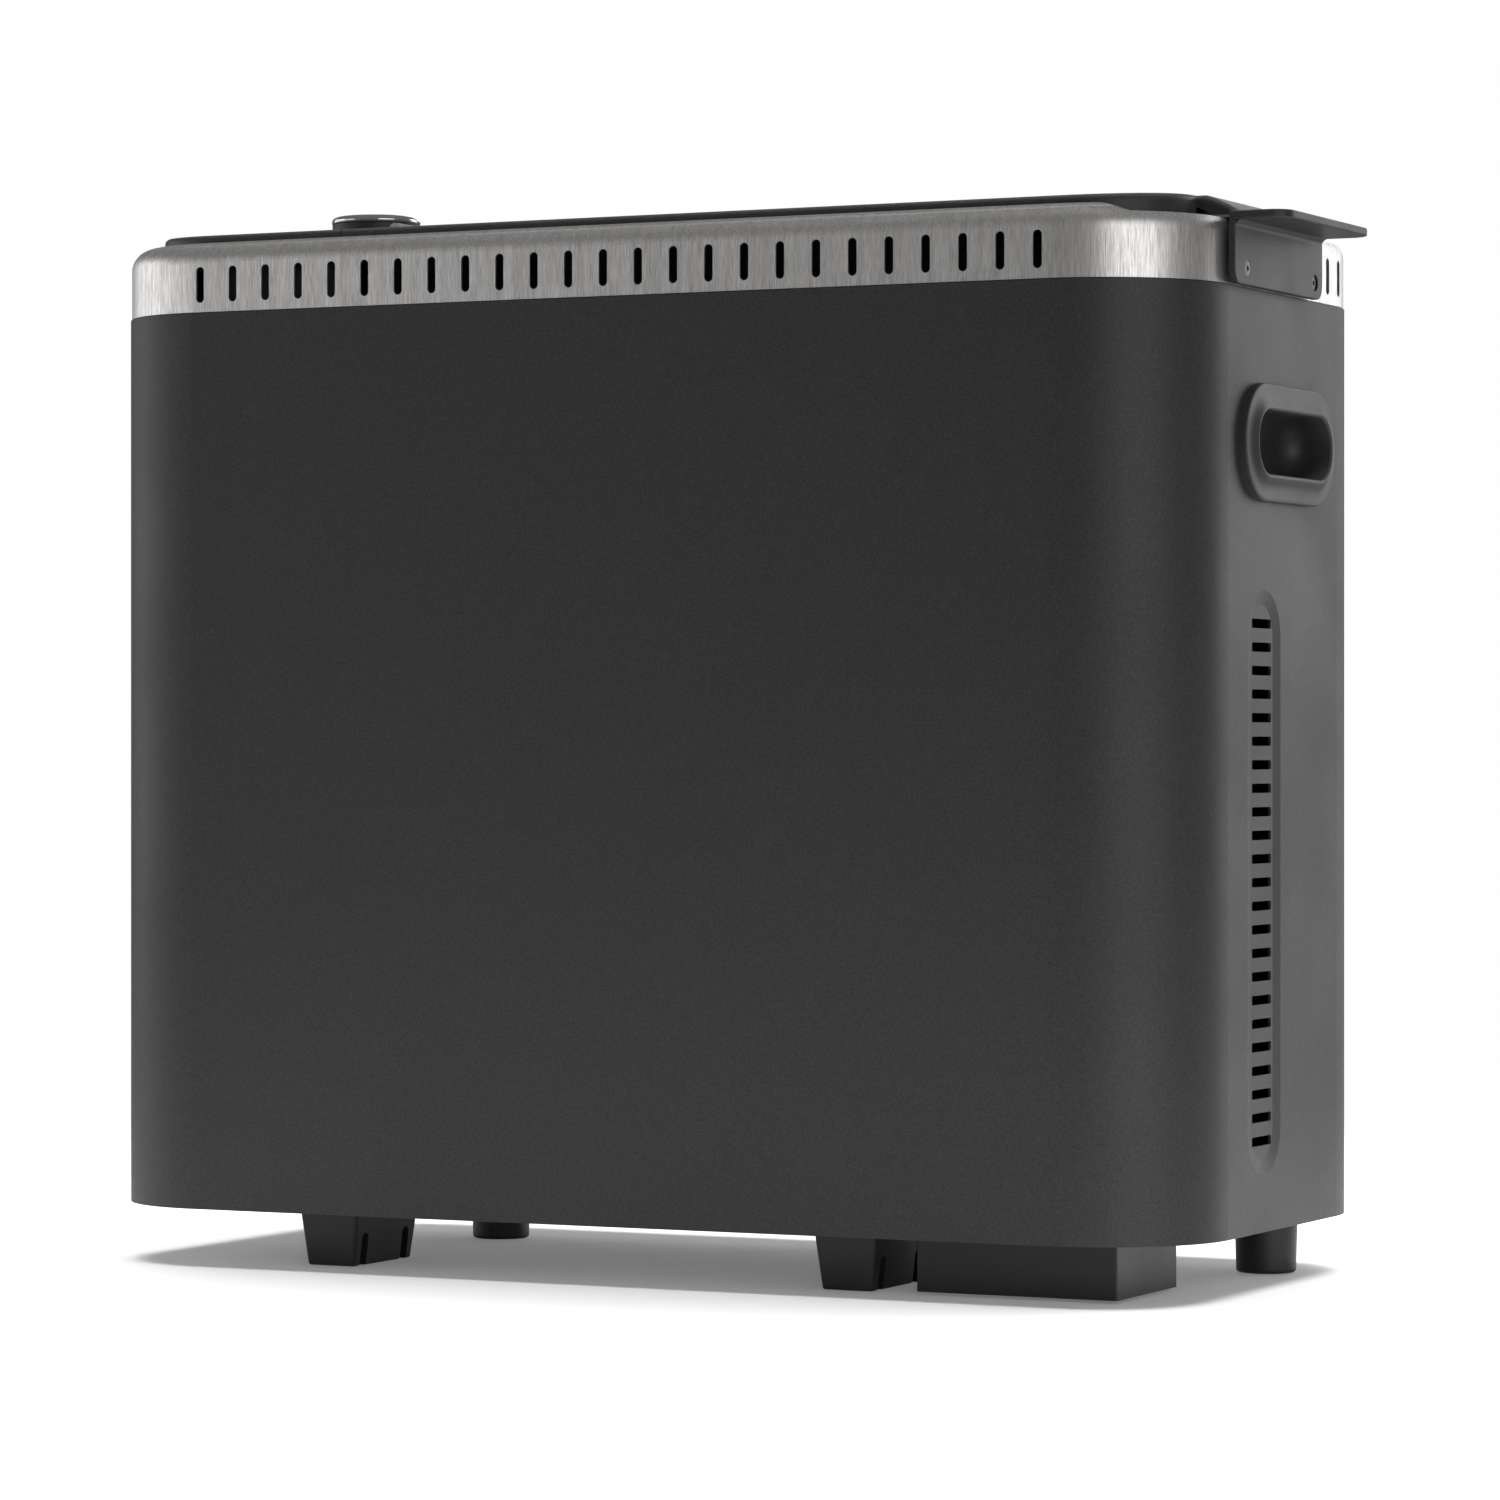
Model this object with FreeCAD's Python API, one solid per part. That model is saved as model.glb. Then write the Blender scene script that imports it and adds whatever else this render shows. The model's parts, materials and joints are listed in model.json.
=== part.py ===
import FreeCAD, Part
import math
import os

from FreeCAD import Placement, Rotation, Vector

# An electric cabinet smoker: a slim upright casing with a top-opening lid, a heated chamber inside,
# a slotted steel collar and a drip drawer underneath. Millimetres, +Z up, X along the long side.
# Pieces are drawn with X = 0 and Y = 0 at the cabinet's centre and Z = 0 on the floor.

# ---- driving dimensions -------------------------------------------------------------------------
case_length = 530.0
case_width = 248.0
case_height = 400.0
case_wall = 1.2
corner_radius = 58.0
foot_height = 25.5

seam = 0.4                    # shadow line between casing and collar
collar_inset = 0.5            # collar face behind the casing face
collar_wall = 1.0
collar_rise = 32.1            # collar top above the casing top
collar_step = 4.1             # the collar is this much lower at the lid's free end
step_start = 17.0             # degrees round the corner where the step begins and ends
step_end = 36.0
shoulder_radius = 10.0
rim_width = 13.7              # from the casing face to the collar's turned-down lip
side_slot_count = 25
side_slot_margin = 4.2        # first slot from the start of the corner
end_slot_count = 11
end_slot_reach = 4.0          # first slot past the start of the corner
vent_slot_width = 4.0
vent_slot_height = 16.0
vent_slot_bottom = 4.6        # above the casing top
vent_slot_depth = 8.0         # how far the cutter goes in, past the collar's wall

cap_inset = 15.5              # lid and deck outline behind the casing face
cap_rise = 4.0                # their edge above the collar
cap_crown = 3.6               # their middle above their edge
cap_round = 2.6               # their rounded top edge
cap_wall = 2.5
cap_top = 3.0
deck_length = 110.0           # fixed control deck at the left end
lid_gap = 0.5                 # between deck and lid
lid_lift = 0.8                # lid skirt above the low part of the collar

tab_reach = 27.3              # handle tab beyond the casing end
tab_drop = 1.0                # tab underside below the low part of the collar
tab_thickness = 3.5
tab_corner = 9.0
handle_gap = 0.3              # steel strap beyond the casing end
handle_margin = 6.5           # handle plate past the opening in the lid's end wall
handle_far_margin = 0.2
plate_thickness = 2.7
plate_corner = 6.0
arm_thickness = 1.2
arm_side_gap = 2.0            # strap narrower than the opening, each side
arm_inset = 4.0               # and narrower than the plate that hides it
cut_near_margin = 3.5         # opening in the lid's end wall, from the ends of its flat part
cut_far_margin = 29.5
brow_round = 2.5
notch_size = (7.2, 10.0, 3.3) # wedge between brow and lid, at the near end
screw_head = (3.4, 1.4, 0.8)  # handle screw head radius, flush height, sunk height
head_seat = 1.5               # counterbore depth in the plate
handle_screw_near = 8.5       # screws from the ends of that opening
handle_screw_far = 9.2
handle_screw_rise = 7.4       # above the casing top

dial_from_lid = 43.9          # dial centre to the deck's free edge
dial_radius = 20.5
dial_rise = 12.6              # dial top above the crown
dial_ring_height = 3.4
dial_ring_wall = 1.4          # upright part of the ring
dial_ring_width = 4.0
dial_lift = 0.4
spindle_radius = 3.0
neck_radius = 5.0             # thermostat neck round the spindle
running_gap = 0.05            # radial gap of a shaft in its bore

hold_below_top = 64.3         # hand hold centre below the casing top
hold_corner_gap = 11.75       # bezel to the start of the corner
hold_tall = 50.2
hold_ring_length = 10.25      # bezel's width at its ends and along its sides
hold_ring_tall = 11.45
hold_rim = 3.6                # bezel's outer wall above the casing
hold_proud = 5.9              # bezel's lip above the casing
hold_wall = 2.2
hold_depth = 18.3             # cup behind the casing face
hold_round = 11.0             # fillet between the cup's walls and floor

louvre_y = -23.7
louvre_width = 39.5
louvre_bottom = 24.5          # above the casing bottom
louvre_below_top = 126.8
louvre_depth = 1.2
louvre_slope = 6.5
louvre_slot_count = 23
louvre_slot_margin = 9.35     # half a pitch more than this from the dish's end to the first slot
louvre_slot_side = 8.4        # slot end from the dish's side
louvre_slot_height = 4.0

chamber_from_lid = 11.5       # chamber, outside faces, from the deck's free edge
chamber_right_gap = 33.0      # and from the casing's right and long sides
chamber_side_gap = 32.0
liner_radius = 20.0
liner_wall = 1.0
liner_bottom = 95.0
insulation = 12.0
rim_inset = 8.0

drawer_right_gap = 38.4       # from the casing's right end
drawer_near_gap = 29.0        # and from its near side
drawer_length = 91.6
drawer_width = 68.0
drawer_top = 24.2
drawer_lift = 1.0             # underside above the floor
drawer_wall = 2.0
drawer_lip = 5.0
drawer_ledge = 1.8            # thickness of the lips that ride on the rails
rail_gap = 0.3                # between rail and lip
rail_width = 10.0
slide_gap = 0.4
drain_radius = 7.0

block_foot_left = 112.8       # feet from the casing's left and right ends, and from its sides
block_foot_right = 162.5
block_foot_side = 54.9
block_foot_top = (30.0, 57.8)
block_foot_draft = 3.0
block_foot_groove = (12.0, 2.8, 6.0)    # groove height, half width and depth
block_foot_groove_end = 10.9            # groove centre from the foot's near and far face
round_foot_left = 113.0
round_foot_right = 32.0
round_foot_side = 60.5
round_foot_radius = 14.0
round_foot_tip = 13.2

element_height = 115.0
element_side_gap = 47.0       # element legs from the chamber's long sides
element_radius = 4.0
element_right_gap = 112.0     # straight legs' end from the chamber's right wall
bushing_radius = 7.0
tray_shift = 22.0             # tray and heater supports left of the chamber's middle
support_margin = 10.0         # supports in from the tray's ends
tray_size = (160.0, 110.0, 30.0)
tray_rise = 8.0               # tray above the heater's middle
pan_level = 0.20              # heights as shares of the room above the tray
pan_share = 0.168
rack_levels = (0.395, 0.66)
rack_end_gap = 15.0           # between a rack and the chamber's end walls
pan_end_gap = 48.0
pan_side_gap = 17.0
pan_rim = 10.0
probe_drop = 20.0             # probe below the upper rack
probe_radius = 3.0

inlet_y = 30.0
inlet_z = 75.0
inlet_size = (27.0, 20.0)
inlet_screw_reach = 20.0
bay_wall_inset = 14.0         # upright screen behind the collar's slots at the left end
terminal_size = (16.0, 80.0, 22.0)
terminal_z = 190.0

knuckle_count = 5
knuckle_span = 120.0
knuckle_radius = 3.0
knuckle_gap = 0.4
pin_radius = 1.5
leaf_width = 17.0
leaf_thickness = 1.2
leaf_drop = 2.2               # leaf underside below the crown
leaf_screw_reach = 11.0
leaf_screw_y = (-45.0, 0.0, 45.0)

sheet = 1.2                   # small sheet steel parts
screw_radius = 1.7

# ---- levels and places worked out from them -----------------------------------------------------
half_length = case_length / 2
half_width = case_width / 2
flat_half = half_width - corner_radius  # half of the end wall's flat part
case_bottom = foot_height
case_top = case_bottom + case_height
side_slot_pitch = 2 * (half_length - corner_radius - side_slot_margin) / (side_slot_count - 1)
end_slot_pitch = 2 * (flat_half + end_slot_reach) / (end_slot_count - 1)
collar_top = case_top + collar_rise
collar_low = collar_top - collar_step
plate_top = collar_low - 2.0            # rim plate: the chamber's top rim
plate_bottom = plate_top - 1.0
lid_bottom = collar_low + lid_lift
cap_edge = collar_top + cap_rise
crown_top = cap_edge + cap_crown
cap_half = half_width - cap_inset
cap_end = half_length - cap_inset
crown_radius = (cap_half ** 2 + cap_crown ** 2) / (2 * cap_crown)
deck_end = -cap_end + deck_length
lid_start = deck_end + lid_gap
hinge_x = deck_end + lid_gap / 2
hinge_z = crown_top + 0.4
leaf_bottom = crown_top - leaf_drop
arm_bottom = collar_low + 0.7
arm_top = arm_bottom + arm_thickness
tab_bottom = collar_low - tab_drop
tab_top = tab_bottom + tab_thickness
liner_plate = arm_top                   # underside of the lid's steel inner plate
base_top = case_bottom + 1.0 + sheet    # upper face of the base pan
base_bottom = base_top - sheet

cut_near = -flat_half + cut_near_margin
cut_far = flat_half - cut_far_margin
handle_near = cut_near - handle_margin
handle_far = cut_far + handle_far_margin
arm_face = half_length + handle_gap
plate_face = arm_face + arm_thickness
plate_out = plate_face + plate_thickness
handle_screw_y = (cut_near + handle_screw_near, cut_far - handle_screw_far)
handle_screw_z = case_top + handle_screw_rise

dial_x = deck_end - dial_from_lid
dial_top = crown_top + dial_rise
ring_bottom = dial_top - dial_ring_height
dial_bottom = crown_top + dial_lift
face_radius = dial_radius - dial_ring_width

hold_z = case_top - hold_below_top
hold_length = 2 * (flat_half - hold_corner_gap)
hold_open_length = hold_length - 2 * hold_ring_length
hold_open_tall = hold_tall - 2 * hold_ring_tall
cup_length = hold_open_length + 2 * hold_wall
cup_tall = hold_open_tall + 2 * hold_wall

louvre_top = case_height - louvre_below_top
louvre_slot_pitch = (louvre_top - louvre_bottom - 2 * louvre_slot_margin) / louvre_slot_count
louvre_slot_width = louvre_width - 2 * louvre_slot_side

liner_left = deck_end + chamber_from_lid
liner_right = half_length - chamber_right_gap
liner_half = half_width - chamber_side_gap
shield_x = liner_left - insulation - 2.0
tray_bottom = element_height + tray_rise
tray_top = tray_bottom + tray_size[2]
room = plate_bottom - tray_top
pan_ledge_height = tray_top + pan_level * room
pan_depth = pan_share * room
rack_heights = [tray_top + share * room for share in rack_levels]
probe_z = rack_heights[1] - probe_drop
element_half = liner_half - element_side_gap
tray_x = (liner_left + liner_right) / 2 - tray_shift
support_reach = tray_size[0] / 2 - support_margin
support_places = (tray_x - support_reach, tray_x + support_reach)

drawer_right = half_length - drawer_right_gap
drawer_left = drawer_right - drawer_length
drawer_near = -half_width + drawer_near_gap
drawer_far = drawer_near + drawer_width
rail_foot_top = drawer_top - drawer_ledge - rail_gap
rail_foot_bottom = rail_foot_top - sheet
drain_x = (drawer_left + drawer_right) / 2
drain_y = (drawer_near + drawer_far) / 2

block_foot_x = (-half_length + block_foot_left, half_length - block_foot_right)
block_foot_y = -half_width + block_foot_side
round_foot_x = (-half_length + round_foot_left, half_length - round_foot_right)
round_foot_y = half_width - round_foot_side
origin_shift = -(tab_reach - hold_proud) / 2


# ---- helpers ------------------------------------------------------------------------------------
def block(x0, x1, y0, y1, z0, z1):
    return Part.makeBox(x1 - x0, y1 - y0, z1 - z0, Vector(x0, y0, z0))


def rod(x, y, z0, z1, radius):
    return Part.makeCylinder(radius, z1 - z0, Vector(x, y, z0))


def rod_x(x0, x1, y, z, radius):
    return Part.makeCylinder(radius, x1 - x0, Vector(x0, y, z), Vector(1, 0, 0))


def rod_y(y0, y1, x, z, radius):
    return Part.makeCylinder(radius, y1 - y0, Vector(x, y0, z), Vector(0, 1, 0))


def rounded_wire(length, width, radius):
    """Rectangle with round corners about the origin, in the XY plane; straight sides may vanish."""
    x, y = length / 2, width / 2
    corners = ((x, y, 0), (-x, y, 90), (-x, -y, 180), (x, -y, 270))
    edges = []
    previous = None
    first = None
    for cx, cy, start in corners:
        centre = Vector(math.copysign(abs(cx) - radius, cx), math.copysign(abs(cy) - radius, cy), 0)
        points = []
        for angle in (start, start + 45, start + 90):
            a = math.radians(angle)
            points.append(centre + Vector(radius * math.cos(a), radius * math.sin(a), 0))
        if previous is not None and previous.distanceToPoint(points[0]) > 1e-6:
            edges.append(Part.LineSegment(previous, points[0]).toShape())
        edges.append(Part.Arc(*points).toShape())
        first = first or points[0]
        previous = points[2]
    if previous.distanceToPoint(first) > 1e-6:
        edges.append(Part.LineSegment(previous, first).toShape())
    return Part.Wire(edges)


def rounded_prism(x0, x1, y0, y1, z0, z1, radius):
    face = Part.Face(rounded_wire(x1 - x0, y1 - y0, radius))
    face.translate(Vector((x0 + x1) / 2, (y0 + y1) / 2, z0))
    return face.extrude(Vector(0, 0, z1 - z0))


def case_prism(inset, z0, z1):
    """The cabinet's plan outline, set in, between two heights."""
    x, y = half_length - inset, half_width - inset
    return rounded_prism(-x, x, -y, y, z0, z1, corner_radius - inset)


facing_x = Rotation(Vector(0, 1, 0), Vector(0, 0, 1), Vector(1, 0, 0), "XYZ")


def end_wire(x, y, z, length, tall, radius):
    """Rounded outline that faces +X: length along Y, tall along Z."""
    wire = rounded_wire(length, tall, radius)
    wire.Placement = Placement(Vector(x, y, z), facing_x)
    return wire


def end_prism(x0, x1, y, z, length, tall, radius):
    return Part.Face(end_wire(x0, y, z, length, tall, radius)).extrude(Vector(x1 - x0, 0, 0))


def end_loft(sections):
    """Ruled solid through rounded outlines that face +X."""
    return Part.makeLoft([end_wire(*s) for s in sections], True, True)


def profile_face(points, y0):
    """Closed outline in XZ. A point given as three pairs is an arc."""
    edges = []
    previous = None
    first = None
    for p in points:
        stations = [Vector(x, y0, z) for x, z in (p if isinstance(p[0], tuple) else (p,))]
        if previous is not None and previous.distanceToPoint(stations[0]) > 1e-6:
            edges.append(Part.LineSegment(previous, stations[0]).toShape())
        if len(stations) == 3:
            edges.append(Part.Arc(*stations).toShape())
        first = first or stations[0]
        previous = stations[-1]
    edges.append(Part.LineSegment(previous, first).toShape())
    return Part.Face(Part.Wire(edges))


def side_profile(points, y0, y1):
    return profile_face(points, y0).extrude(Vector(0, y1 - y0, 0))


def turned(points, x):
    """Outline of (radius, height) pairs turned round an upright axis through (x, 0)."""
    face = profile_face(points, 0)
    ring = face.revolve(Vector(0, 0, 0), Vector(0, 0, 1), 360)
    ring.translate(Vector(x, 0, 0))
    return ring


def fuse(shapes):
    return shapes[0].multiFuse(shapes[1:]).removeSplitter() if len(shapes) > 1 else shapes[0]


def cut(shape, tools):
    return shape.cut(Part.makeCompound(tools))


def group(shapes):
    """Several separate solids kept in one file."""
    return Part.makeCompound(shapes)


def both_ends(shape):
    """The shape and its copy turned half a turn about the cabinet's middle."""
    other = shape.copy()
    other.rotate(Vector(0, 0, 0), Vector(0, 0, 1), 180)
    return shape, other


def rounded(shape, radius, wanted):
    """Fillet of the edges that the test picks."""
    return shape.makeFillet(radius, [e for e in shape.Edges if wanted(e)])


def level(edge, z):
    return abs(edge.BoundBox.ZMin - z) < 1e-4 and abs(edge.BoundBox.ZMax - z) < 1e-4


def save(name, shape):
    placed = shape.copy()
    placed.translate(Vector(origin_shift, 0, 0))
    placed.exportStep("parts/" + name + ".step")
    box = placed.BoundBox
    print(f"{name:22s} {len(placed.Solids)} {box.XLength:7.1f} {box.YLength:7.1f} {box.ZLength:7.1f}")


# ---- casing and base ----------------------------------------------------------------------------
def louvre_dish(shift):
    """Shallow racetrack dish pressed into the right end wall."""
    tall = louvre_top - louvre_bottom
    z = case_bottom + (louvre_top + louvre_bottom) / 2
    floor_width = louvre_width - 2 * louvre_slope
    floor_tall = tall - 2 * louvre_slope
    x = half_length + shift
    slope = louvre_slope / louvre_depth
    lead = 0.5                 # carries the slope past the face, so the cut is clean
    return end_loft([
        (x + lead, louvre_y, z, louvre_width + 2 * slope * lead, tall + 2 * slope * lead,
         louvre_width / 2 + slope * lead),
        (x - louvre_depth, louvre_y, z, floor_width, floor_tall, floor_width / 2),
    ])


def louvre_slots():
    middle = case_bottom + (louvre_top + louvre_bottom) / 2
    slots = []
    for i in range(louvre_slot_count):
        z = middle + (i - (louvre_slot_count - 1) / 2) * louvre_slot_pitch
        slots.append(end_prism(half_length - 8, half_length + 2, louvre_y, z,
                               louvre_slot_width, louvre_slot_height, 1.0))
    return slots


def make_casing():
    shell = case_prism(0, case_bottom, case_top)
    shell = shell.cut(case_prism(case_wall, case_bottom - 1, case_top + 1))
    inward = louvre_dish(-case_wall).common(block(0, half_length - 0.1, -half_width, half_width, 0, case_top))
    shell = shell.fuse(inward).cut(louvre_dish(0))
    shell = cut(shell, louvre_slots())
    hole = end_prism(half_length - 5, half_length + 1, 0, hold_z, cup_length + slide_gap, cup_tall + slide_gap,
                     (cup_tall + slide_gap) / 2)
    shell = cut(shell, both_ends(hole))
    inlet_hole = end_prism(-half_length - 1, -half_length + 5, inlet_y, inlet_z,
                           inlet_size[0] + slide_gap, inlet_size[1] + slide_gap, 2.0)
    return shell.cut(inlet_hole)


def make_base_pan():
    pan = case_prism(case_wall, base_bottom, base_top + 12)
    pan = pan.cut(case_prism(case_wall + sheet, base_top, base_top + 13))
    holes = [rod(drain_x, drain_y, base_bottom - 1, base_top + 1, drain_radius + 1)]
    holes += [rod(x, y, base_bottom - 1, base_top + 1, screw_radius) for x, y in foot_places()]
    for x in range(-90, 91, 18):
        holes.append(rounded_prism(x - 4, x + 4, -20, 20, base_bottom - 1, base_top + 1, 3.9))
    return cut(pan, holes)


def foot_places():
    return [(x, block_foot_y) for x in block_foot_x] + [(x, round_foot_y) for x in round_foot_x]


def make_block_foot(x):
    """Drafted block with rounded edges and two grooves, open at the floor, in each long side."""
    long_x, long_y = block_foot_top
    top = rounded_wire(long_x, long_y, 2.5)
    top.translate(Vector(x, block_foot_y, base_bottom))
    low = rounded_wire(long_x - 2 * block_foot_draft, long_y - 2 * block_foot_draft, 2.0)
    low.translate(Vector(x, block_foot_y, 0))
    foot = Part.makeLoft([low, top], True, True)
    foot = rounded(foot, 1.2, lambda e: level(e, 0))
    rise, half, depth = block_foot_groove
    grooves = []
    for side in (-1, 1):
        x0, x1 = sorted((x + side * (long_x / 2 - depth), x + side * (long_x / 2 + 2)))
        spread = long_y / 2 - block_foot_groove_end
        for y in (block_foot_y - spread, block_foot_y + spread):
            grooves.append(block(x0, x1, y - half, y + half, -1, rise))
            grooves.append(rod_x(x0, x1, y, rise, half))
    foot = cut(foot, grooves)
    return foot.cut(rod(x, block_foot_y, 10, base_bottom + 1, screw_radius))


def make_round_foot(x):
    foot = Part.makeCone(round_foot_tip, round_foot_radius, base_bottom, Vector(x, round_foot_y, 0))
    foot = rounded(foot, 1.5, lambda e: level(e, 0))
    return foot.cut(rod(x, round_foot_y, 10, base_bottom + 1, screw_radius))


def make_foot_screws():
    screws = []
    for x, y in foot_places():
        screws.append(fuse([rod(x, y, 12, base_top, screw_radius), rod(x, y, base_top, base_top + 2.4, 3.5)]))
    return group(screws)


# ---- collar and the frame behind it -------------------------------------------------------------
def collar_profile(drop):
    """Everything below the collar's top line, which steps down in an S before the lid's free end."""
    high = collar_top - drop
    low = collar_low - drop
    reach = half_length + 10
    straight = half_length - corner_radius
    ramp_start = straight + corner_radius * math.sin(math.radians(step_start))
    ramp_end = straight + corner_radius * math.sin(math.radians(step_end))
    middle = (ramp_start + ramp_end) / 2
    half = (high + low) / 2
    bend = 0.25 * (ramp_end - ramp_start)
    return side_profile([
        (-reach, case_top - 20),
        (-reach, high),
        ((ramp_start, high), (ramp_start + bend, high - 0.13 * collar_step), (middle, half)),
        ((middle, half), (ramp_end - bend, low + 0.13 * collar_step), (ramp_end, low)),
        (reach, low),
        (reach, case_top - 20),
    ], -half_width - 5, half_width + 5)


def collar_solid(extra):
    """Collar block with its rounded shoulder, set in by the wall when extra is the wall."""
    z0 = case_top + seam
    solid = case_prism(collar_inset + extra, z0, collar_top - extra)
    top_edges = [e for e in solid.Edges if level(e, collar_top - extra)]
    solid = solid.makeFillet(shoulder_radius - extra, top_edges)
    return solid.common(collar_profile(extra))


def vent_slot(x, y, along_x):
    """Upright slot with round ends, cut through one wall of the collar."""
    z0 = case_top + vent_slot_bottom + vent_slot_width / 2
    z1 = case_top + vent_slot_bottom + vent_slot_height - vent_slot_width / 2
    half = vent_slot_width / 2
    if along_x:
        y0, y1 = sorted((y, y - math.copysign(vent_slot_depth, y)))
        straight = block(x - half, x + half, y0, y1, z0, z1)
        return fuse([straight, rod_y(y0, y1, x, z0, half), rod_y(y0, y1, x, z1, half)])
    x0, x1 = sorted((x, x - math.copysign(vent_slot_depth, x)))
    straight = block(x0, x1, y - half, y + half, z0, z1)
    return fuse([straight, rod_x(x0, x1, y, z0, half), rod_x(x0, x1, y, z1, half)])


def make_collar():
    shell = collar_solid(0).cut(collar_solid(collar_wall))
    shell = shell.cut(case_prism(collar_inset + collar_wall, case_top, collar_low - 6))
    shell = shell.cut(case_prism(rim_width, case_top, collar_top + 5))
    lip = case_prism(rim_width, plate_top, collar_top).cut(case_prism(rim_width + 1.0, 0, collar_top + 1))
    shell = shell.fuse(lip.common(collar_profile(0)))
    slots = []
    for i in range(side_slot_count):
        x = (i - (side_slot_count - 1) / 2) * side_slot_pitch
        for y in (-half_width, half_width):
            slots.append(vent_slot(x, y, True))
    for i in range(end_slot_count):
        y = (i - (end_slot_count - 1) / 2) * end_slot_pitch
        for x in (-half_length, half_length):
            if x < 0 or y > handle_near:
                slots.append(vent_slot(x, y, False))
    return cut(shell, slots)


def insulation_block(z0, z1, gap):
    r = liner_radius + insulation + gap
    grow = insulation + gap
    return rounded_prism(liner_left - grow, liner_right + grow, -liner_half - grow, liner_half + grow, z0, z1, r)


def make_top_frame():
    """Moulded ring between casing and collar, with air holes to the collar and a screen round the bay."""
    ring = case_prism(case_wall, case_top - 4, case_top)
    lip_inset = collar_inset + collar_wall
    lip = case_prism(lip_inset, case_top, case_top + 4).cut(case_prism(lip_inset + 2, 0, case_top + 5))
    wool_end = liner_left - insulation
    screen = case_prism(bay_wall_inset, case_top, plate_bottom)
    screen = screen.cut(case_prism(bay_wall_inset + sheet, 0, plate_top))
    screen = screen.common(block(-half_length, wool_end - 1.5, -half_width, half_width, case_top, plate_top))
    chamber_hole = insulation_block(case_top - 5, case_top + 1, 1.0)
    bay_hole = rounded_prism(-half_length + bay_wall_inset + 2, wool_end - 6, -half_width + 30, half_width - 30,
                             case_top - 5, case_top + 1, 20)
    vents = []
    vent_half = 8.0
    first = liner_left + 3 * vent_half
    last = liner_right - 3 * vent_half
    vent_count = 14
    for i in range(vent_count):
        x = first + (last - first) * i / (vent_count - 1)
        for side in (-1, 1):
            y0, y1 = sorted((side * (liner_half + insulation + 4), side * (half_width - 6)))
            vents.append(block(x - vent_half, x + vent_half, y0, y1, case_top - 5, case_top + 1))
    return cut(fuse([ring, lip, screen]), [chamber_hole, bay_hole] + vents)


def chamber_prism(inset, z0, z1):
    return rounded_prism(liner_left + inset, liner_right - inset, -liner_half + inset, liner_half - inset,
                         z0, z1, liner_radius - inset)


def make_rim_plate():
    plate = case_prism(rim_inset, plate_bottom, plate_top)
    opening = chamber_prism(liner_wall, plate_bottom - 1, plate_top + 1)
    return cut(plate, [opening, rod(dial_x, 0, plate_bottom - 1, plate_top + 1, neck_radius)])


# ---- chamber ------------------------------------------------------------------------------------
def bushing_rods(x0, x1, radius):
    return [rod_x(x0, x1, side * element_half, element_height, radius) for side in (-1, 1)]


def make_liner():
    tub = chamber_prism(0, liner_bottom, plate_bottom - 1)
    flange = chamber_prism(-10, plate_bottom - 1, plate_bottom)
    tub = fuse([tub, flange])
    tub = tub.cut(chamber_prism(liner_wall, liner_bottom + liner_wall, plate_top))
    holes = [rod(drain_x, drain_y, liner_bottom - 1, liner_bottom + 2, drain_radius)]
    holes += bushing_rods(liner_left - 1, liner_left + 2, bushing_radius)
    holes.append(rod_x(liner_left - 1, liner_left + 2, 0, probe_z, 5.0))
    return cut(tub, holes)


def make_insulation():
    wool = insulation_block(liner_bottom - insulation, plate_bottom - 2.5, 0)
    wool = wool.cut(chamber_prism(0, liner_bottom, plate_top))
    holes = [rod(drain_x, drain_y, 0, liner_bottom + 1, drain_radius + 0.5)]
    holes += bushing_rods(liner_left - insulation - 1, liner_left + 1, bushing_radius + 0.5)
    holes.append(rod_x(liner_left - insulation - 1, liner_left + 1, 0, probe_z, 5.5))
    return cut(wool, holes)


def make_liner_legs():
    """Four angle posts that carry the insulated chamber above the base pan."""
    legs = []
    for x, turn_x in ((liner_left + 8, 1), (liner_right - 28, -1)):
        for side in (-1, 1):
            y0, y1 = sorted((side * (liner_half - 20), side * liner_half))
            outer = block(x, x + 20, y0, y1, base_top, liner_bottom - insulation)
            inner_y = sorted((y0 + (sheet if side < 0 else -1), y1 + (1 if side < 0 else -sheet)))
            inner = block(x + (sheet if turn_x > 0 else -1), x + 20 + (1 if turn_x > 0 else -sheet),
                          inner_y[0], inner_y[1], 0, liner_bottom)
            legs.append(outer.cut(inner))
    return group(legs)


def make_drain_spout():
    tube = rod(drain_x, drain_y, drawer_top + 0.8, liner_bottom + liner_wall + 1, drain_radius)
    flange = rod(drain_x, drain_y, liner_bottom + liner_wall, liner_bottom + liner_wall + 1, drain_radius + 4)
    return fuse([tube, flange]).cut(rod(drain_x, drain_y, 0, liner_bottom + 5, drain_radius - 1.5))


def make_element():
    """Hairpin heater: two legs joined by a half turn, with terminal pins at the left."""
    x0, x1 = liner_left - 32, liner_right - element_right_gap
    path = Part.Wire([
        Part.LineSegment(Vector(x0, -element_half, element_height),
                         Vector(x1, -element_half, element_height)).toShape(),
        Part.Arc(Vector(x1, -element_half, element_height), Vector(x1 + element_half, 0, element_height),
                 Vector(x1, element_half, element_height)).toShape(),
        Part.LineSegment(Vector(x1, element_half, element_height),
                         Vector(x0, element_half, element_height)).toShape(),
    ])
    start = Part.Wire([Part.Circle(Vector(x0, -element_half, element_height),
                                   Vector(1, 0, 0), element_radius).toShape()])
    tube = path.makePipeShell([start], True, True)
    pins = bushing_rods(x0 - 10, x0, 1.5)
    return fuse([tube] + pins)


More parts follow.
